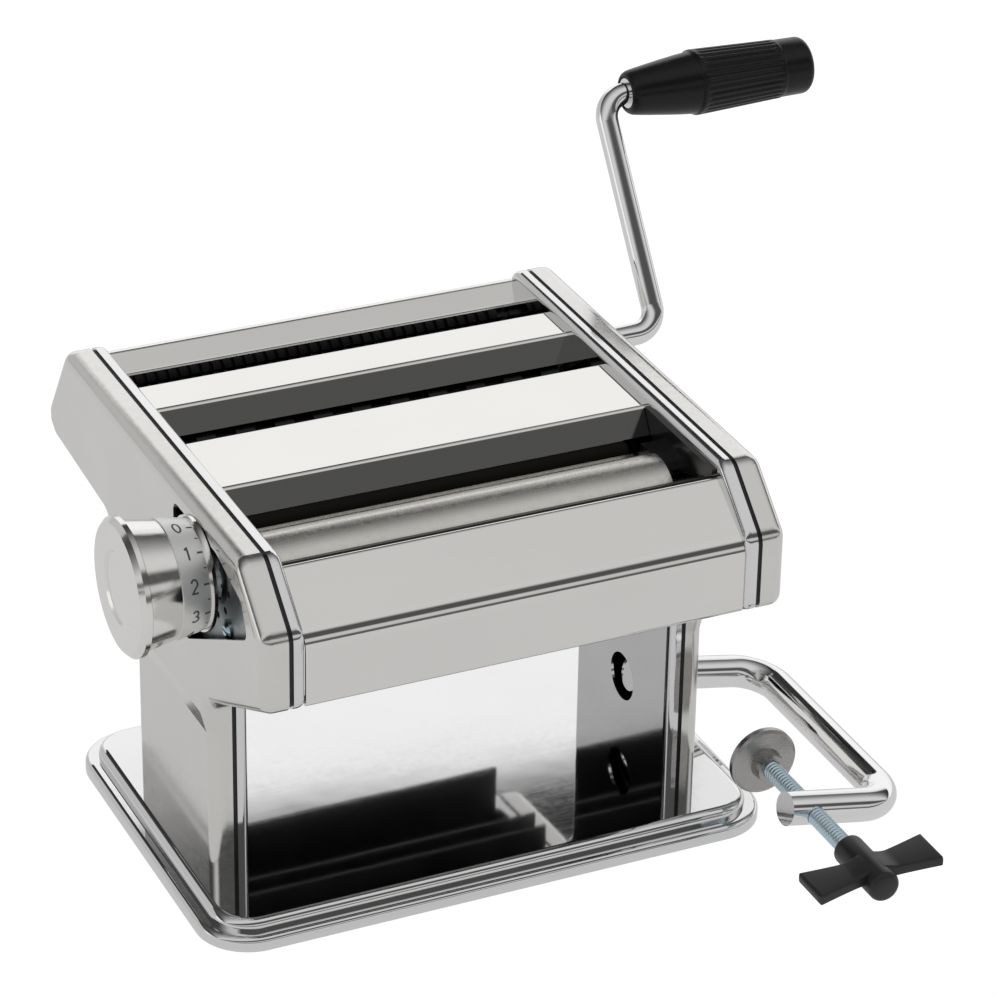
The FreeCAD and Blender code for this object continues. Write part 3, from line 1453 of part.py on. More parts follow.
def make_clamp():
    zero = "0 * seam"
    start, first, second, end, outwards = clamp_corners()
    rod = bent_rod("ClampBar", [start, first, second, end], value("clamp_radius"), value("clamp_bend"))
    hole = document.addObject("Part::Cylinder", "ClampThread")
    bind(hole, "Radius", "clamp_screw + journal_gap")
    bind(hole, "Height", "4 * clamp_radius")
    hole.Placement.Rotation = FreeCAD.Rotation(Vector(1, 0, 0), -90)
    place(hole, "clamp_screw_x", CLAMP_SCREW_Y + " - 2 * clamp_radius", CLAMP_SCREW_Z)
    node(cut(rod, hole, "ClampRod"), "clamp_rod")

    sleeve = new_body("ClampSleeve")
    ring = sketch_on(sleeve, "SleeveRing", "YZ_Plane", "sleeve_start")
    draw_circle(ring, zero, zero, "clamp_radius + journal_gap + sleeve_wall")
    pad(sleeve, ring, "sleeve_length")
    add_hole(sleeve, "SleeveBore", zero, zero, "clamp_radius + journal_gap", "sleeve_start", "sleeve_length",
             RIGHT)
    sleeve.Placement.Rotation = FreeCAD.Rotation(Vector(0, 1, 0), 1)
    bind(sleeve, "Placement.Rotation.Angle", "clamp_droop")
    place(sleeve, "clamp_end_x", "clamp_y", "clamp_end_z")
    node(sleeve, "clamp_sleeve")

    back = "(pad_y - pad_wall)"
    screw = y_turned("ClampScrew", [
        (zero, "screw_head_y - screw_grip"), ("clamp_screw", "screw_head_y - screw_grip"),
        ("clamp_screw", back + " - pad_rim - screw_seat"), (zero, back + " - pad_rim - screw_seat")])
    place(screw, "clamp_screw_x", zero, CLAMP_SCREW_Z)
    node(screw, "clamp_screw")

    pad_piece = y_turned("PressurePad", [
        (zero, "pad_y - pad_rim"), ("pad_face", "pad_y - pad_rim"), ("pad_lip", "pad_y"),
        ("pad_radius", "pad_y"), ("pad_radius", back),
        ("pad_back", back + " - pad_boss_slope"), ("pad_boss", back + " - pad_rim"),
        ("pad_boss - pad_boss_slope", back + " - pad_boss_depth"),
        ("clamp_screw + journal_gap", back + " - pad_boss_depth"),
        ("clamp_screw + journal_gap", back + " - pad_rim"), (zero, back + " - pad_rim")])
    place(pad_piece, "clamp_screw_x", zero, CLAMP_SCREW_Z)
    node(pad_piece, "pressure_pad")
    make_wing_knob()


def make_wing_knob():
    zero = "0 * seam"
    hub_end = "(screw_head_y - hub_length)"
    body = y_turned("WingKnob", [
        (zero, hub_end), ("hub_radius - hub_round", hub_end), ("hub_radius", hub_end + " + hub_round"),
        ("hub_radius", "screw_head_y"), (zero, "screw_head_y")])
    wings = sketch_on(body, "Wings", "XY_Plane", "-wing_sink")
    low = "(screw_head_y - wing_lead - wing_width)"
    middle = "(screw_head_y - wing_lead - wing_width / 2)"
    high = "(screw_head_y - wing_lead)"
    half = "wing_span / 2"
    draw_corners(wings, [
        ("-" + half, low), ("-hub_radius", middle + " - wing_waist / 2"),
        ("hub_radius", middle + " - wing_waist / 2"), (half, low), (half, high),
        ("hub_radius", middle + " + wing_waist / 2"), ("-hub_radius", middle + " + wing_waist / 2"),
        ("-" + half, high)])
    pad(body, wings, "wing_wall")
    bore = sketch_on(body, "WingBore", "XZ_Plane", "-screw_head_y")
    draw_circle(bore, zero, zero, "clamp_screw")
    pocket(body, bore, "screw_grip", backwards=True)
    body.Placement.Rotation = FreeCAD.Rotation(Vector(0, -1, 0), 1)
    bind(body, "Placement.Rotation.Angle", "wing_turn")
    place(body, "clamp_screw_x", zero, CLAMP_SCREW_Z)
    node(body, "wing_knob")


# Whole machine

def make_all():
    make_base()
    outline = make_outline()
    make_trims(outline)
    make_plates(outline)
    make_covers(outline)
    make_bearing_plates()
    make_sheets()
    make_guard()
    make_cheeks()
    make_rods()
    make_scrapers()
    make_combs()
    make_rollers()
    make_cutters()
    make_blocks()
    make_carriage_bar()
    make_regulator()
    make_detents(*make_dial_plate())
    make_dial_screws()
    make_knob()
    make_crank()
    make_clamp()


def write_parts():
    """Checks every object and writes each sub-part to its own file."""
    document.recompute()
    failed = [item.Name for item in document.Objects if "Invalid" in item.State or "Error" in item.State]
    for item in NODES:
        if item.Shape.isNull() or not item.Shape.isValid() or len(item.Shape.Solids) != 1:
            failed.append(item.Label)
    if failed:
        raise RuntimeError("failed: " + ", ".join(failed))
    os.makedirs("parts", exist_ok=True)
    for item in NODES:
        item.Shape.exportStep("parts/%s.step" % item.Label)
    print(len(NODES), "sub-parts written")


make_all()
write_parts()
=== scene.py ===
import json
import math
import bmesh
import bpy
from mathutils import Euler, Matrix, Vector


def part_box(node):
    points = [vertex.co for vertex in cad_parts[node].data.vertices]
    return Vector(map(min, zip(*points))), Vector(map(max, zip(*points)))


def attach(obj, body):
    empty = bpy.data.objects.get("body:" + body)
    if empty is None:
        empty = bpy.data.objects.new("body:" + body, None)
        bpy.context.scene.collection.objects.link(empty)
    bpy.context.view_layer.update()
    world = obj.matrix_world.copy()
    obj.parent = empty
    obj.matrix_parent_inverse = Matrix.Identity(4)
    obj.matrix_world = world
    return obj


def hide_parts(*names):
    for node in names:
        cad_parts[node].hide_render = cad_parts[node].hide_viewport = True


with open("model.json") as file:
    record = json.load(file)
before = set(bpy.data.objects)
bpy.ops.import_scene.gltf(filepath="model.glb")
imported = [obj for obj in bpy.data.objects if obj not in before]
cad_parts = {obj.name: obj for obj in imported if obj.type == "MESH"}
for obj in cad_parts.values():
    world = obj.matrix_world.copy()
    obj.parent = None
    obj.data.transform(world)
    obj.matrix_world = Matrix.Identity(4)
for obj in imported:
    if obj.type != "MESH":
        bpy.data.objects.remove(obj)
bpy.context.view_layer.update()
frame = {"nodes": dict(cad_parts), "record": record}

NODES = frame["nodes"]

# Shapes are written in mm, reliefs of surfaces in microns. Blender and the frame use metres
MM = 0.001
MM_PER_METRE = 1000.0
MICRON = 0.000001


def clipped(value):
    return min(1.0, max(0.0, value))


# Node trees

# The sockets of a Mix node when it mixes colours
MIX_FACTOR, MIX_FIRST, MIX_SECOND, MIX_RESULT = 0, 6, 7, 2

# Nearly all values of a noise lie between these two
NOISE_LOW, NOISE_HIGH = 0.3, 0.7

# Scales of the noises, per metre
WAVE_SCALE = 28.0
STREAK_SCALE = 12.0
MARK_SCALE = 420.0
METAL_GRAIN_SCALE = 1800.0
CLOUD_SCALE = 60.0


def add(tree, kind, inputs=None, **attributes):
    """One shader node. A socket among the inputs is linked, and any other value is set."""
    made = tree.nodes.new(kind)
    for name, value in attributes.items():
        setattr(made, name, value)
    for key, value in (inputs or {}).items():
        if isinstance(value, bpy.types.NodeSocket):
            tree.links.new(value, made.inputs[key])
        else:
            made.inputs[key].default_value = value
    return made


def math_node(tree, operation, first, second=0.0, third=0.0):
    made = add(tree, "ShaderNodeMath", {0: first, 1: second, 2: third}, operation=operation)
    return made.outputs[0]


def average(tree, first, second):
    return math_node(tree, "MULTIPLY_ADD", first, 0.5, math_node(tree, "MULTIPLY", second, 0.5))


def span(tree, value, low, high, start, end, smooth=False):
    """The value's run from low to high becomes a run from start to end."""
    kind = "SMOOTHSTEP" if smooth else "LINEAR"
    made = add(tree, "ShaderNodeMapRange", {
        "Value": value, "From Min": low, "From Max": high, "To Min": start, "To Max": end,
    }, interpolation_type=kind)
    return made.outputs["Result"]


def blend(tree, factor, first, second):
    """A colour between two written colours, after a factor from another node."""
    inputs = {MIX_FACTOR: factor, MIX_FIRST: (*first, 1.0), MIX_SECOND: (*second, 1.0)}
    return add(tree, "ShaderNodeMix", inputs, data_type="RGBA").outputs[MIX_RESULT]


def place(tree, stretch=(1.0, 1.0, 1.0)):
    """Object coordinates, stretched, so that a texture keeps to its part as the part moves."""
    source = add(tree, "ShaderNodeTexCoord").outputs["Object"]
    return add(tree, "ShaderNodeMapping", {"Vector": source, "Scale": stretch}).outputs["Vector"]


def noise(tree, vector, scale, detail, rough):
    made = add(tree, "ShaderNodeTexNoise", {
        "Vector": vector, "Scale": scale, "Detail": detail, "Roughness": rough,
    })
    return made.outputs["Fac"]


def bump(tree, height, distance, base):
    inputs = {"Height": height, "Distance": distance, "Strength": 1.0}
    if base is not None:
        inputs["Normal"] = base
    return add(tree, "ShaderNodeBump", inputs).outputs["Normal"]


def varied(tree, factor, color, vary):
    """The colour, from a little darker to a little lighter as a noise goes up."""
    darker = tuple(min(1.0, channel * (1.0 - vary)) for channel in color)
    lighter = tuple(min(1.0, channel * (1.0 + vary)) for channel in color)
    return blend(tree, span(tree, factor, NOISE_LOW, NOISE_HIGH, 0.0, 1.0), darker, lighter)


# Materials

# Scales of a metal's streaks along X, Y and Z: on sheet, on turned faces and round the rollers
SHEET_STREAKS = (2.0, 160.0, 160.0)
TURNED_STREAKS = (300.0, 3.0, 3.0)
ROLLER_STREAKS = (3.0, 500.0, 500.0)


def new_material(name):
    material = bpy.data.materials.new(name)
    material.use_nodes = True
    tree = material.node_tree
    return material, tree, tree.nodes["Principled BSDF"]


def metal(name, color, rough, streaks=SHEET_STREAKS, streak_depth=0.0, wave=0.0, vary=0.04,
          rough_vary=0.35, grain=0.0):
    """Polished or brushed metal: streaks along the rolling direction, slow waves of thin sheet,
    small changes of tone and gloss, and faint handling marks. Depths are in microns."""
    material, tree, shader = new_material(name)
    shader.inputs["Metallic"].default_value = 1.0
    lines = noise(tree, place(tree, streaks), STREAK_SCALE, 4.0, 0.6)
    slow = noise(tree, place(tree), WAVE_SCALE, 2.0, 0.45)
    marks = noise(tree, place(tree), MARK_SCALE, 5.0, 0.7)
    colour = varied(tree, average(tree, lines, slow), color, vary)
    tree.links.new(colour, shader.inputs["Base Color"])
    low, high = rough * (1.0 - rough_vary), rough * (1.0 + rough_vary)
    gloss = span(tree, average(tree, marks, lines), 0.35, 0.65, low, high)
    tree.links.new(gloss, shader.inputs["Roughness"])
    reliefs = [(slow, wave), (lines, streak_depth)]
    if grain:
        reliefs.append((noise(tree, place(tree), METAL_GRAIN_SCALE, 3.0, 0.6), grain))
    normal = None
    for height, depth in reliefs:
        if depth:
            normal = bump(tree, height, depth * MICRON, normal)
    if normal is not None:
        tree.links.new(normal, shader.inputs["Normal"])
    return material


def plastic(name, color, rough, grain=20.0, grain_scale=1500.0, vary=0.25, specular=0.5):
    """Moulded plastic or rubber: a fine grain, a little unevenness of tone and gloss.
    The grain's depth is in microns."""
    material, tree, shader = new_material(name)
    shader.inputs["Specular IOR Level"].default_value = specular
    slow = noise(tree, place(tree), CLOUD_SCALE, 4.0, 0.6)
    fine = noise(tree, place(tree), grain_scale, 3.0, 0.6)
    tree.links.new(varied(tree, slow, color, vary), shader.inputs["Base Color"])
    gloss = span(tree, slow, NOISE_LOW, NOISE_HIGH, rough * 0.8, rough * 1.2)
    tree.links.new(gloss, shader.inputs["Roughness"])
    tree.links.new(bump(tree, fine, grain * MICRON, None), shader.inputs["Normal"])
    return material


def grey(level):
    return level, level, level


# Slot: colour, roughness and what differs from the defaults above
PANEL_STEEL = ((0.80, 0.79, 0.77), 0.06, dict(wave=20.0, streak_depth=0.1, vary=0.015))
METALS = {
    "tray_steel": (grey(0.80), 0.045, dict(wave=30.0, streak_depth=0.4, vary=0.02)),
    "trim_steel": (grey(0.78), 0.07, dict(wave=20.0, streak_depth=0.6)),
    # Near black so that the seam between trims and covers reads dark: painted shade of the deep
    # gap
    "plate_steel": ((0.05, 0.05, 0.052), 0.40, dict(streak_depth=3.0, vary=0.10)),
    "cover_steel": ((0.74, 0.73, 0.71), 0.16, dict(wave=20.0, streak_depth=1.0)),
    "panel_steel": PANEL_STEEL,
    "rod_steel": (grey(0.40), 0.30, dict(streaks=TURNED_STREAKS, streak_depth=4.0)),
    "roller_steel": ((0.70, 0.68, 0.64), 0.27,
                     dict(streaks=ROLLER_STREAKS, streak_depth=4.0, vary=0.08, grain=3.0)),
    # Near black so that the cutters under the guides read dark: painted shade of the deep gaps
    # they sit in
    "cutter_steel": ((0.03, 0.03, 0.032), 0.38,
                     dict(streaks=TURNED_STREAKS, streak_depth=4.0, vary=0.2)),
    "gear_steel": (grey(0.38), 0.32, dict(streak_depth=4.0, vary=0.12)),
    "dial_plate_steel": ((0.34, 0.37, 0.38), 0.36, dict(streak_depth=1.0)),
    "screw_zinc": ((0.52, 0.66, 0.72), 0.22, dict(vary=0.10, streak_depth=2.0)),
    "knob_chrome": ((0.84, 0.83, 0.81), 0.13, dict(streak_depth=0.4)),
    "dial_print": ((0.93, 0.93, 0.92), 0.50, dict(vary=0.02, rough_vary=0.1)),
    "crank_chrome": (grey(0.84), 0.07, dict(wave=6.0, vary=0.02)),
    "clamp_chrome": (grey(0.84), 0.07, dict(wave=6.0, vary=0.02)),
    "pad_steel": ((0.42, 0.41, 0.40), 0.30, dict(vary=0.10)),
}
PLASTICS = {
    "board": (grey(0.05), 0.7, dict(grain=100.0, grain_scale=700.0)),
    "mat_rubber": (grey(0.04), 0.65, dict(grain=80.0, grain_scale=900.0)),
    "cheek_plastic": (grey(0.012), 0.18, dict(grain=4.0)),
    "comb_plastic": (grey(0.015), 0.5, {}),
    "grip_plastic": (grey(0.010), 0.28, dict(grain=6.0, specular=0.25)),
    "sleeve_plastic": (grey(0.02), 0.5, {}),
    "wing_plastic": (grey(0.018), 0.42, dict(grain=30.0, grain_scale=1400.0)),
}
MATERIALS = {slot: metal(slot, colour, rough, **more)
             for slot, (colour, rough, more) in METALS.items()}
MATERIALS.update({slot: plastic(slot, colour, rough, **more)
                  for slot, (colour, rough, more) in PLASTICS.items()})
INK = plastic("dial_ink", grey(0.10), 0.5, vary=0.15)

# The front guide's lip gets painted shade, near black, where it faces the rollers
LIP_SHADE_HEIGHT = 4.9
LIP_SHADE_FADE_LOW, LIP_SHADE_FADE_HIGH = 0.2, 0.1
LIP_SHADE_LEVEL = 0.02


def paint_shade_below(material, height):
    """Painted shade: near black under a height in metres of object coordinates."""
    tree = material.node_tree
    base_color = tree.nodes["Principled BSDF"].inputs["Base Color"]
    steel = base_color.links[0].from_socket
    source = add(tree, "ShaderNodeTexCoord").outputs["Object"]
    up = add(tree, "ShaderNodeSeparateXYZ", {0: source}).outputs[2]
    # Painted shade: the steel's colour falls to near black under the lip's height
    above = span(tree, up, height - LIP_SHADE_FADE_LOW * MM, height + LIP_SHADE_FADE_HIGH * MM, LIP_SHADE_LEVEL, 1.0)
    shaded = add(tree, "ShaderNodeVectorMath", {0: steel, "Scale": above}, operation="SCALE")
    tree.links.new(shaded.outputs[0], base_color)


def make_lip_painted_shade():
    colour, rough, more = PANEL_STEEL
    material = metal("lip_painted_shade", colour, rough, **more)
    lip_bottom = min(vertex.co.z for vertex in NODES["front_guide"].data.vertices)
    paint_shade_below(material, lip_bottom + LIP_SHADE_HEIGHT * MM)
    return material


# The front guide takes the steel with the painted shade on its lip
OWN_MATERIAL = {"front_guide": make_lip_painted_shade()}
SLOT_OF_NODE = {entry["node"]: entry["material_slot"] for entry in frame["record"]["subparts"]}
for node_name, node in NODES.items():
    node.data.materials.clear()
    node.data.materials.append(OWN_MATERIAL.get(node_name) or MATERIALS[SLOT_OF_NODE[node_name]])


# Pieces

# The two directions square to an axis of the machine, then the axis
AXES = {
    "X": (Vector((0, 1, 0)), Vector((0, 0, 1)), Vector((1, 0, 0))),
    "Y": (Vector((0, 0, 1)), Vector((1, 0, 0)), Vector((0, 1, 0))),
}
WELD = 1e-7


def finish_piece(name, maker, body, slot, sharp_angle, replaced=(), material=None):
    """An object from a bmesh in metres: welded, shaded smooth but for its sharp edges."""
    mesh = bpy.data.meshes.new(name)
    bmesh.ops.remove_doubles(maker, verts=maker.verts, dist=WELD)
    bmesh.ops.recalc_face_normals(maker, faces=maker.faces)
    for face in maker.faces:
        face.smooth = True
    for edge in maker.edges:
        if len(edge.link_faces) == 2:
            edge.smooth = edge.calc_face_angle(0.0) < math.radians(sharp_angle)
    maker.to_mesh(mesh)
    maker.free()
    mesh.materials.append(material or MATERIALS[slot])
    thing = bpy.data.objects.new(name, mesh)
    bpy.context.scene.collection.objects.link(thing)
    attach(thing, body)
    if replaced:
        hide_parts(*replaced)


def closed_surface(maker, rings):
    """Quads between rings of points, and a face on the last ring and on the first."""
    made = [[maker.verts.new(point) for point in ring] for ring in rings]
    for first, second in zip(made, made[1:]):
        for index in range(len(first)):
            following = (index + 1) % len(first)
            corners = (first[index], first[following], second[following], second[index])
            maker.faces.new(corners)
    maker.faces.new(made[-1])
    maker.faces.new(made[0][::-1])


def revolved(maker, axis, centre, stations, count, radius_at=None):
    """A closed surface round an axis. Stations are pairs of place along it and radius, in mm."""
    across, up, along = AXES[axis]
    rings = []
    for place_mm, radius_mm in stations:
        ring = []
        for step in range(count):
            angle = 2.0 * math.pi * step / count
            radius = radius_at(place_mm, radius_mm, angle) if radius_at else radius_mm
            offset = across * (radius * math.cos(angle)) + up * (radius * math.sin(angle))
            ring.append(centre + (along * place_mm + offset) * MM)
        rings.append(ring)
    closed_surface(maker, rings)


# Crank grip, from the crank's side to the free end. Pairs are place and radius
GRIP_NECK = [
    (0.0, 6.2), (0.12, 6.65), (0.45, 7.15), (1.0, 7.6), (1.9, 8.02), (4.0, 8.4), (9.0, 9.15),
    (15.0, 10.0), (21.0, 10.75), (25.4, 11.2), (25.9, 11.28), (26.2, 11.5), (26.5, 11.82),
    (27.0, 11.9), (27.6, 11.9), (28.0, 11.88), (28.6, 11.86), (29.3, 11.84),
]
GRIP_BORE = [(62.0, 0.5), (62.0, 4.05), (1.95, 4.05), (1.9, 5.7), (0.3, 5.75), (0.0, 6.0)]

# Its rim, by the distance beyond the flutes
GRIP_RIM = [(-1.6, 10.77), (-0.8, 10.75), (0.0, 10.73), (0.5, 10.72), (0.8, 10.5), (1.3, 10.48)]
GRIP_PLAIN_END = 13.0
GRIP_TAPER = 1.05
FLUTES = 30
FLUTE_DEPTH = 0.42
FLUTE_START = 27.6
FLUTE_RUN_IN = 1.6
FLUTE_RUN_OUT = 2.5


def make_grip():
    """A smooth tapered neck, a small step, long flutes and a rounded end with a plain rim."""
    low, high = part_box("crank_grip")
    middle = (low + high) / 2.0
    length = (high.x - low.x) * MM_PER_METRE
    flutes_end = length - GRIP_PLAIN_END
    bore_limit = 6.5

    def radius_at(place_mm, radius_mm, angle):
        run_in = clipped((place_mm - FLUTE_START) / FLUTE_RUN_IN)
        fade = run_in * clipped((flutes_end - place_mm) / FLUTE_RUN_OUT)
        if radius_mm < bore_limit or fade <= 0.0:
            return radius_mm
        groove = (0.5 + 0.5 * math.cos(FLUTES * angle)) ** 2
        return radius_mm - FLUTE_DEPTH * fade * groove

    outside = list(GRIP_NECK)
    start, start_radius = GRIP_NECK[-1]
    parts = 12
    for part in range(1, parts + 1):
        place_mm = start + (flutes_end - FLUTE_RUN_OUT - start) * part / parts
        outside.append((place_mm, start_radius - GRIP_TAPER * part / parts))
    outside += [(flutes_end + beyond, radius) for beyond, radius in GRIP_RIM]
    outside.append((length - 3.4, 10.4))
    rounding, flattening, flat_radius = 3.2, 0.94, 7.2
    parts = 8
    for part in range(1, parts + 1):
        turn = math.radians(90.0 * part / parts)
        outside.append((length - rounding + rounding * math.sin(turn) * flattening,
                        flat_radius + rounding * math.cos(turn)))
    outside += [(length - 0.15, 4.5), (length - 0.1, 1.5)]
    maker = bmesh.new()
    centre = Vector((low.x, middle.y, middle.z))
    revolved(maker, "X", centre, GRIP_BORE + outside, 360, radius_at)
    finish_piece("grip_fluted", maker, "grip", "grip_plastic", 55.0, ("crank_grip",))


def make_screw():
    """Clamp screw: a single thread, its ends chamfered."""
    low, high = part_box("clamp_screw")
    middle = (low + high) / 2.0
    length = (high.y - low.y) * MM_PER_METRE
    pitch, crest, root = 1.5, 3.2, 2.72
    flank_slope, root_width = 1.35, 0.12
    end_radius, chamfer_radius, chamfer_slope = 2.2, 2.3, 1.1
    rings_per_turn = 8

    def radius_at(place_mm, radius_mm, angle):
        phase = (place_mm / pitch - angle / (2.0 * math.pi)) % 1.0
        ridge = abs(2.0 * phase - 1.0)
        thread = root + (crest - root) * clipped(ridge * flank_slope - root_width)
        return min(radius_mm, thread)

    stations = [(0.0, end_radius)]
    count = int(length / pitch * rings_per_turn)
    for part in range(count + 1):
        place_mm = length * part / count
        from_end = min(place_mm, length - place_mm)
        stations.append((place_mm, min(crest, chamfer_radius + from_end * chamfer_slope)))
    stations.append((length, end_radius))
    maker = bmesh.new()
    revolved(maker, "Y", Vector((middle.x, low.y, middle.z)), stations, 32, radius_at)
    finish_piece("screw_threaded", maker, "screw", "screw_zinc", 70.0, ("clamp_screw",))


def rounded_ring(x, y_low, y_high, z_low, z_high, radius):
    """A rectangle with round corners, square to X, as a ring of points."""
    ring = []
    corners = ((y_high, z_high, 0.0), (y_low, z_high, 90.0),
               (y_low, z_low, 180.0), (y_high, z_low, 270.0))
    for y, z, start in corners:
        y_in = y - math.copysign(radius, y - (y_low + y_high) / 2.0)
        z_in = z - math.copysign(radius, z - (z_low + z_high) / 2.0)
        for part in range(6):
            turn = math.radians(start + 18.0 * part)
            y_out, z_out = radius * math.cos(turn), radius * math.sin(turn)
            ring.append(Vector((x, y_in + y_out, z_in + z_out)))
    return ring


# Wing knob. Places along its axis count from its inner end, where the screw goes in
WING_TILT = -5.0
HUB_RADIUS = 5.4
HUB_BORE = 3.25
HUB_BORE_DEPTH = 14.0
HUB_STRAIGHT_END = 12.0
WING_REACH = 22.7
WING_MIDDLE = -15.75
WING_ROOT = 5.0
WING_ROOT_HALF_WIDTH = 5.0
WING_WIDENING = 2.75
WING_WIDENING_POWER = 1.25
WING_BOTTOM = -0.4
WING_TOP = 3.4
WING_SWELL = 1.9
WING_SWELL_REACH = 8.5
WING_END_ROUNDING = 0.8
WING_EDGE_ROUNDING = 0.7


def hub_stations(length):
    rounding, round_start, flat_radius = 2.2, 2.4, 3.2
    stations = [(-length, 1.0), (-length + 0.12, 3.0)]
    for part in range(9):
        bend = math.radians(90.0 * part / 8.0)
        stations.append((-length + round_start - rounding * math.cos(bend),
                         flat_radius + rounding * math.sin(bend)))
    stations += [(-length + HUB_STRAIGHT_END, HUB_RADIUS), (-1.0, HUB_RADIUS), (-0.35, 5.25)]
    stations += [(0.0, 4.8), (0.0, HUB_BORE), (-HUB_BORE_DEPTH, HUB_BORE), (-HUB_BORE_DEPTH, 0.6)]
    return stations


def wing_section(x):
    """The wings' outline at a distance from the axis, in metres."""
    away = abs(x)
    share = clipped((away - WING_ROOT) / (WING_REACH - WING_ROOT))
    half_width = WING_ROOT_HALF_WIDTH + WING_WIDENING * share ** WING_WIDENING_POWER
    top = WING_TOP
    if away < WING_SWELL_REACH:
        top += WING_SWELL * (0.5 + 0.5 * math.cos(math.pi * away / WING_SWELL_REACH))
    end_share = max(0.0, away - (WING_REACH - WING_END_ROUNDING)) / WING_END_ROUNDING
    shrink = WING_END_ROUNDING * (1.0 - math.sqrt(max(0.0, 1.0 - end_share ** 2)))
    ring = rounded_ring(x, WING_MIDDLE - half_width + shrink, WING_MIDDLE + half_width - shrink,
                        WING_BOTTOM + shrink, top - shrink, WING_EDGE_ROUNDING)
    return [point * MM for point in ring]


def make_wing():
    """Wing knob: a round hub and two wings that widen outwards, all edges softened."""
    low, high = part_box("wing_knob")
    screw_low, screw_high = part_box("clamp_screw")
    screw_middle = (screw_low + screw_high) / 2.0
    inner_end = Vector((screw_middle.x, high.y, screw_middle.z))
    maker = bmesh.new()
    length = (high.y - low.y) * MM_PER_METRE
    revolved(maker, "Y", Vector((0.0, 0.0, 0.0)), hub_stations(length), 72)
    half_count = 46
    closed_surface(maker, [wing_section(WING_REACH * part / half_count)
                           for part in range(-half_count, half_count + 1)])
    tilt = Matrix.Rotation(math.radians(WING_TILT), 3, "Y")
    for vert in maker.verts:
        vert.co = tilt @ vert.co + inner_end
    finish_piece("wing_rounded", maker, "screw", "wing_plastic", 50.0, ("wing_knob",))


def arc(y, z, across, up, start, end, count=14):
    """Points of an elliptical arc, in degrees from the right."""
    angles = [math.radians(start + (end - start) * part / count) for part in range(count + 1)]
    return [(y + across * math.cos(angle), z + up * math.sin(angle)) for angle in angles]


# Strokes of the numbers, in a box that is 1 wide and 1 high
DIGITS = {
    0: [arc(0.5, 0.5, 0.36, 0.5, 0, 360, 24)],
    1: [[(0.28, 0.78), (0.55, 1.0), (0.55, 0.0)]],
    2: [arc(0.5, 0.7, 0.34, 0.3, 165, -30) + [(0.16, 0.0), (0.86, 0.0)]],
    3: [arc(0.48, 0.74, 0.30, 0.26, 150, -90), arc(0.48, 0.26, 0.36, 0.26, 90, -150)],
    4: [[(0.68, 0.0), (0.68, 1.0), (0.12, 0.28), (0.90, 0.28)]],
    5: [[(0.82, 1.0), (0.24, 1.0), (0.20, 0.56)] + arc(0.47, 0.33, 0.36, 0.33, 130, -150)],
    6: [arc(0.5, 0.31, 0.34, 0.31, 0, 360, 22), arc(0.72, 0.36, 0.56, 0.64, 178, 100)],
    7: [[(0.14, 1.0), (0.86, 1.0), (0.40, 0.0)]],
    8: [arc(0.5, 0.75, 0.27, 0.25, 0, 360, 20), arc(0.5, 0.25, 0.35, 0.25, 0, 360, 20)],
    9: [arc(0.5, 0.69, 0.34, 0.31, 0, 360, 22), arc(0.28, 0.64, 0.56, 0.64, -2, -80)],
}
FIRST_NUMBER_ANGLE = 8.0
NUMBER_STEP = 32.0
DIGIT_PLACE = 2.6
DIGIT_WIDTH = 3.1
DIGIT_HEIGHT = 4.6
DIGIT_STROKE = 0.62
LONG_TICK_START, LONG_TICK_WIDTH = 2.2, 0.7
SHORT_TICK_START, SHORT_TICK_WIDTH = 1.3, 0.45
TICK_END = 0.3
INK_THICKNESS = 0.05
STROKE_PART = 0.6
RING_SLOPE = 3.8 / 21.2


def ribbon(maker, path, width, bend):
    """A flat stroke along a path, in short parts, bent onto the dial."""
    corners = [Vector(corner) for corner in path]
    points = [corners[0]]
    for start, end in zip(corners, corners[1:]):
        parts = max(1, math.ceil((end - start).length / STROKE_PART))
        points += [start.lerp(end, part / parts) for part in range(1, parts + 1)]
    rings = []
    for index, point in enumerate(points):
        before = points[max(0, index - 1)]
        after = points[min(len(points) - 1, index + 1)]
        run = (after - before).normalized()
        side = Vector((-run.y, run.x)) * (width / 2.0)
        left, right = point + side, point - side
        rings.append([bend(left, INK_THICKNESS), bend(right, INK_THICKNESS),
                      bend(right, 0.0), bend(left, 0.0)])
    closed_surface(maker, rings)


def make_numbers():
    """Numbers and ticks round the tapered dial."""
    low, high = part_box("dial_ring")
    middle = (low + high) / 2.0
    width = (high.x - low.x) * MM_PER_METRE
    outer = (high.z - low.z) * MM_PER_METRE / 2.0
    inner = outer - RING_SLOPE * width

    def bender(angle):
        def bend(point, height):
            radius = outer + (inner - outer) * point.x / width + height
            turn = angle + point.y / outer
            return Vector((low.x + point.x * MM, middle.y + radius * MM * math.sin(-turn),
                           middle.z + radius * MM * math.cos(turn)))
        return bend

    def tick(start, tick_width, angle):
        path = [(width - start, 0.0), (width - TICK_END, 0.0)]
        ribbon(maker, path, tick_width, bender(angle))

    maker = bmesh.new()
    for digit, strokes in DIGITS.items():
        angle = math.radians(FIRST_NUMBER_ANGLE + NUMBER_STEP * digit)
        for stroke in strokes:
            path = [(DIGIT_PLACE + DIGIT_WIDTH * a, DIGIT_HEIGHT * (0.5 - b)) for a, b in stroke]
            ribbon(maker, path, DIGIT_STROKE, bender(angle))
        tick(LONG_TICK_START, LONG_TICK_WIDTH, angle)
        tick(SHORT_TICK_START, SHORT_TICK_WIDTH, angle + math.radians(NUMBER_STEP / 2.0))
    finish_piece("dial_numbers", maker, "knob", "dial_print", 40.0, material=INK)


make_grip()
make_screw()
make_wing()
make_numbers()


# Surroundings

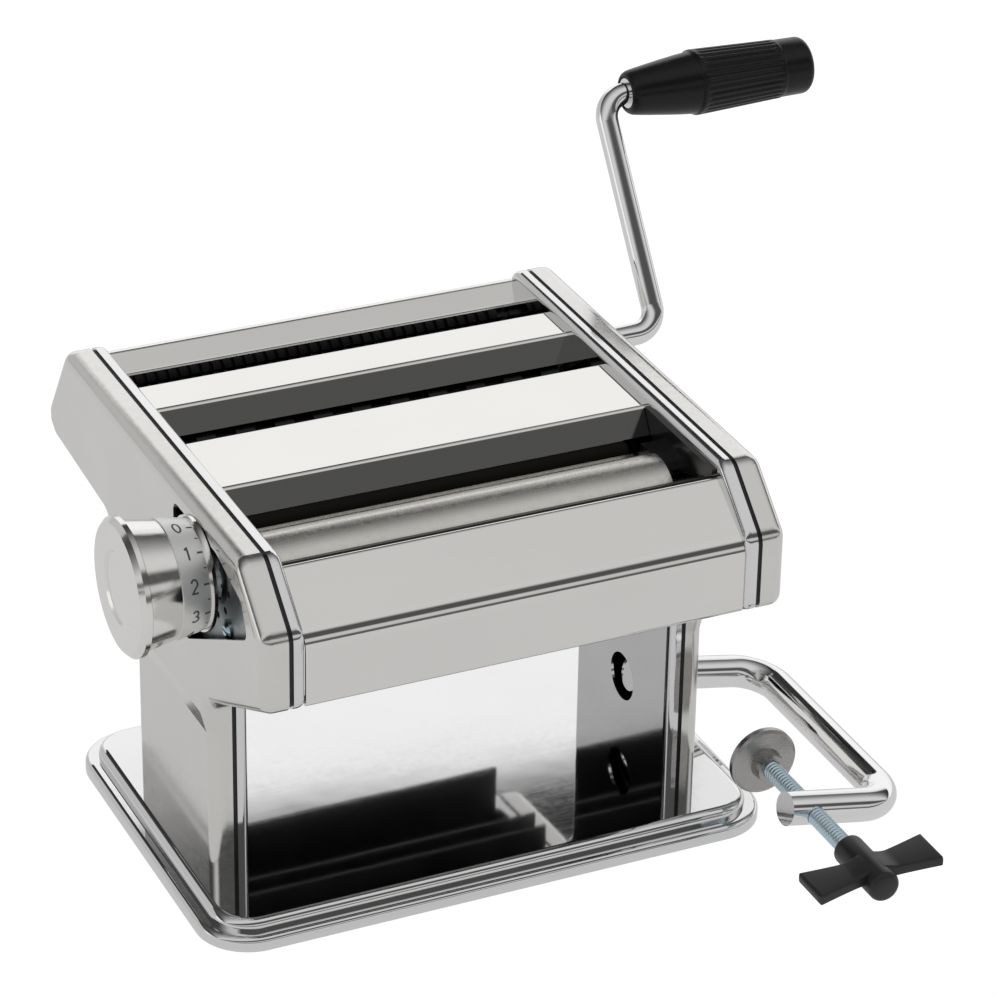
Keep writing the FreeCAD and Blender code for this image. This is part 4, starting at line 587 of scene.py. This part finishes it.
# Brightness in reflections, by degrees from the back over the top to the front: a white
# backdrop, a dark room over it, a bright ceiling, and in front a dark wall with a pale strip
SKY = ((0, 0.98), (17, 1.06), (33.2, 1.06), (33.7, 0.03), (43, 0.035), (56, 0.10), (76, 0.34),
       (96, 0.64), (109, 0.70), (124, 0.68), (133, 0.09), (151, 0.09), (156, 0.62), (167, 0.62),
       (172, 0.12), (180, 0.12))

# A colour ramp ends at 1, so it holds half the brightness
RAMP_PEAK = 2.0

# The backdrop's two halves are turned outwards by 7 degrees: the shares of X and Y
SKY_ASIDE, SKY_BACK = 0.1219, 0.9925

# Directions count as behind the machine from the first Y to the second
BEHIND = (0.3, 0.5)

# To the right the backdrop goes on upwards: from these X per Y, up to these Z
RIGHT_EDGE = (0.531, 0.539)
RIGHT_TOP = (0.62, 0.70)
RIGHT_LEVEL = 0.95

# To the left it is in half shade: from these X
LEFT_EDGE = (0.0, -0.2)
LEFT_LOSS = 0.50
LEFT_GAIN = 0.05


def sky_level(tree, angle):
    """The brightness in SKY at an angle in radians."""
    ramp = add(tree, "ShaderNodeValToRGB", {0: math_node(tree, "DIVIDE", angle, math.pi)})
    stops = ramp.color_ramp.elements
    while len(stops) < len(SKY):
        stops.new(1.0)
    for index, (degrees, level) in enumerate(SKY):
        stops[index].position = degrees / 180.0
        stops[index].color = (*grey(level / RAMP_PEAK), 1.0)
    return math_node(tree, "MULTIPLY", ramp.outputs["Color"], RAMP_PEAK)


def make_world():
    """White for the camera, and the studio in SKY for reflections."""
    world = bpy.data.worlds.new("studio")
    bpy.context.scene.world = world
    world.use_nodes = True
    tree = world.node_tree
    tree.nodes.clear()
    direction = add(tree, "ShaderNodeTexCoord").outputs["Generated"]
    x, y, z = add(tree, "ShaderNodeSeparateXYZ", {0: direction}).outputs
    aside = math_node(tree, "ABSOLUTE", x)
    backward = math_node(tree, "MULTIPLY_ADD", aside, SKY_ASIDE,
                         math_node(tree, "MULTIPLY", y, SKY_BACK))
    upward = math_node(tree, "MAXIMUM", z, 0.0)
    level = sky_level(tree, math_node(tree, "ARCTAN2", upward, backward))
    behind = span(tree, y, *BEHIND, 0.0, 1.0, True)
    x_per_y = math_node(tree, "DIVIDE", x, math_node(tree, "MAXIMUM", y, 0.05))
    right = math_node(tree, "MULTIPLY", behind, span(tree, x_per_y, *RIGHT_EDGE, 0.0, 1.0, True))
    right = math_node(tree, "MULTIPLY", right, span(tree, z, *RIGHT_TOP, 1.0, 0.0, True))
    level = math_node(tree, "MAXIMUM", level, math_node(tree, "MULTIPLY", right, RIGHT_LEVEL))
    left = math_node(tree, "MULTIPLY", behind, span(tree, x, *LEFT_EDGE, 0.0, 1.0, True))
    kept = math_node(tree, "MULTIPLY_ADD", left, -LEFT_LOSS, 1.0)
    level = math_node(tree, "MULTIPLY_ADD", level, kept,
                      math_node(tree, "MULTIPLY", left, LEFT_GAIN))
    ray = add(tree, "ShaderNodeLightPath").outputs["Is Camera Ray"]
    missing = math_node(tree, "SUBTRACT", 1.0, level)
    strength = math_node(tree, "ADD", level, math_node(tree, "MULTIPLY", ray, missing))
    background = add(tree, "ShaderNodeBackground",
                     {"Color": (1.0, 1.0, 1.0, 1.0), "Strength": strength})
    add(tree, "ShaderNodeOutputWorld", {"Surface": background.outputs[0]})


FLOOR_REACH = 6.0
FLOOR_GREY = 0.50
FLOOR_GLOW_REFLECTED = 0.45
FLOOR_GLOW_SEEN = 0.865


def make_floor():
    """A white table top that takes the machine's shadow, a little less bright in reflections."""
    mesh = bpy.data.meshes.new("floor")
    corners = [(x * FLOOR_REACH, y * FLOOR_REACH, 0.0)
               for x, y in ((-1, -1), (1, -1), (1, 1), (-1, 1))]
    mesh.from_pydata(corners, [], [(0, 1, 2, 3)])
    floor = bpy.data.objects.new("floor", mesh)
    bpy.context.scene.collection.objects.link(floor)
    material = bpy.data.materials.new("floor_white")
    material.use_nodes = True
    tree = material.node_tree
    tree.nodes.clear()
    looks = []
    for strength in (FLOOR_GLOW_REFLECTED, FLOOR_GLOW_SEEN):
        lit = add(tree, "ShaderNodeBsdfDiffuse", {"Color": (*grey(FLOOR_GREY), 1.0)})
        glow = add(tree, "ShaderNodeEmission",
                   {"Color": (1.0, 1.0, 1.0, 1.0), "Strength": strength})
        both = add(tree, "ShaderNodeAddShader", {0: lit.outputs[0], 1: glow.outputs[0]})
        looks.append(both.outputs[0])
    ray = add(tree, "ShaderNodeLightPath").outputs["Is Camera Ray"]
    mixed = add(tree, "ShaderNodeMixShader", {0: ray, 1: looks[0], 2: looks[1]})
    add(tree, "ShaderNodeOutputMaterial", {"Surface": mixed.outputs[0]})
    mesh.materials.append(material)


# The photograph's camera, fitted to the machine's straight edges. Angles are in degrees
CAMERA_PLACE = (-0.4934, -1.1106, 0.7669)
CAMERA_DOWN = 28.268
CAMERA_ASIDE = 25.225
CAMERA_ROLL = 1.107
CAMERA_LENS = 150.40
CAMERA_SENSOR = 36.0
CAMERA_SHIFT = (-0.0035, 0.000146)
CAMERA_NEAR = 0.01


def make_camera():
    data = bpy.data.cameras.new("camera")
    data.sensor_width = CAMERA_SENSOR
    data.lens = CAMERA_LENS
    data.shift_x, data.shift_y = CAMERA_SHIFT
    data.clip_start = CAMERA_NEAR
    camera = bpy.data.objects.new("camera", data)
    aim = Euler((math.radians(90.0 - CAMERA_DOWN), 0.0, -math.radians(CAMERA_ASIDE)))
    turn = aim.to_matrix() @ Matrix.Rotation(math.radians(CAMERA_ROLL), 3, "Z")
    camera.matrix_world = Matrix.Translation(CAMERA_PLACE) @ turn.to_4x4()
    bpy.context.scene.collection.objects.link(camera)
    bpy.context.scene.camera = camera


make_world()
make_floor()
make_camera()
bpy.context.scene.view_settings.view_transform = "Standard"
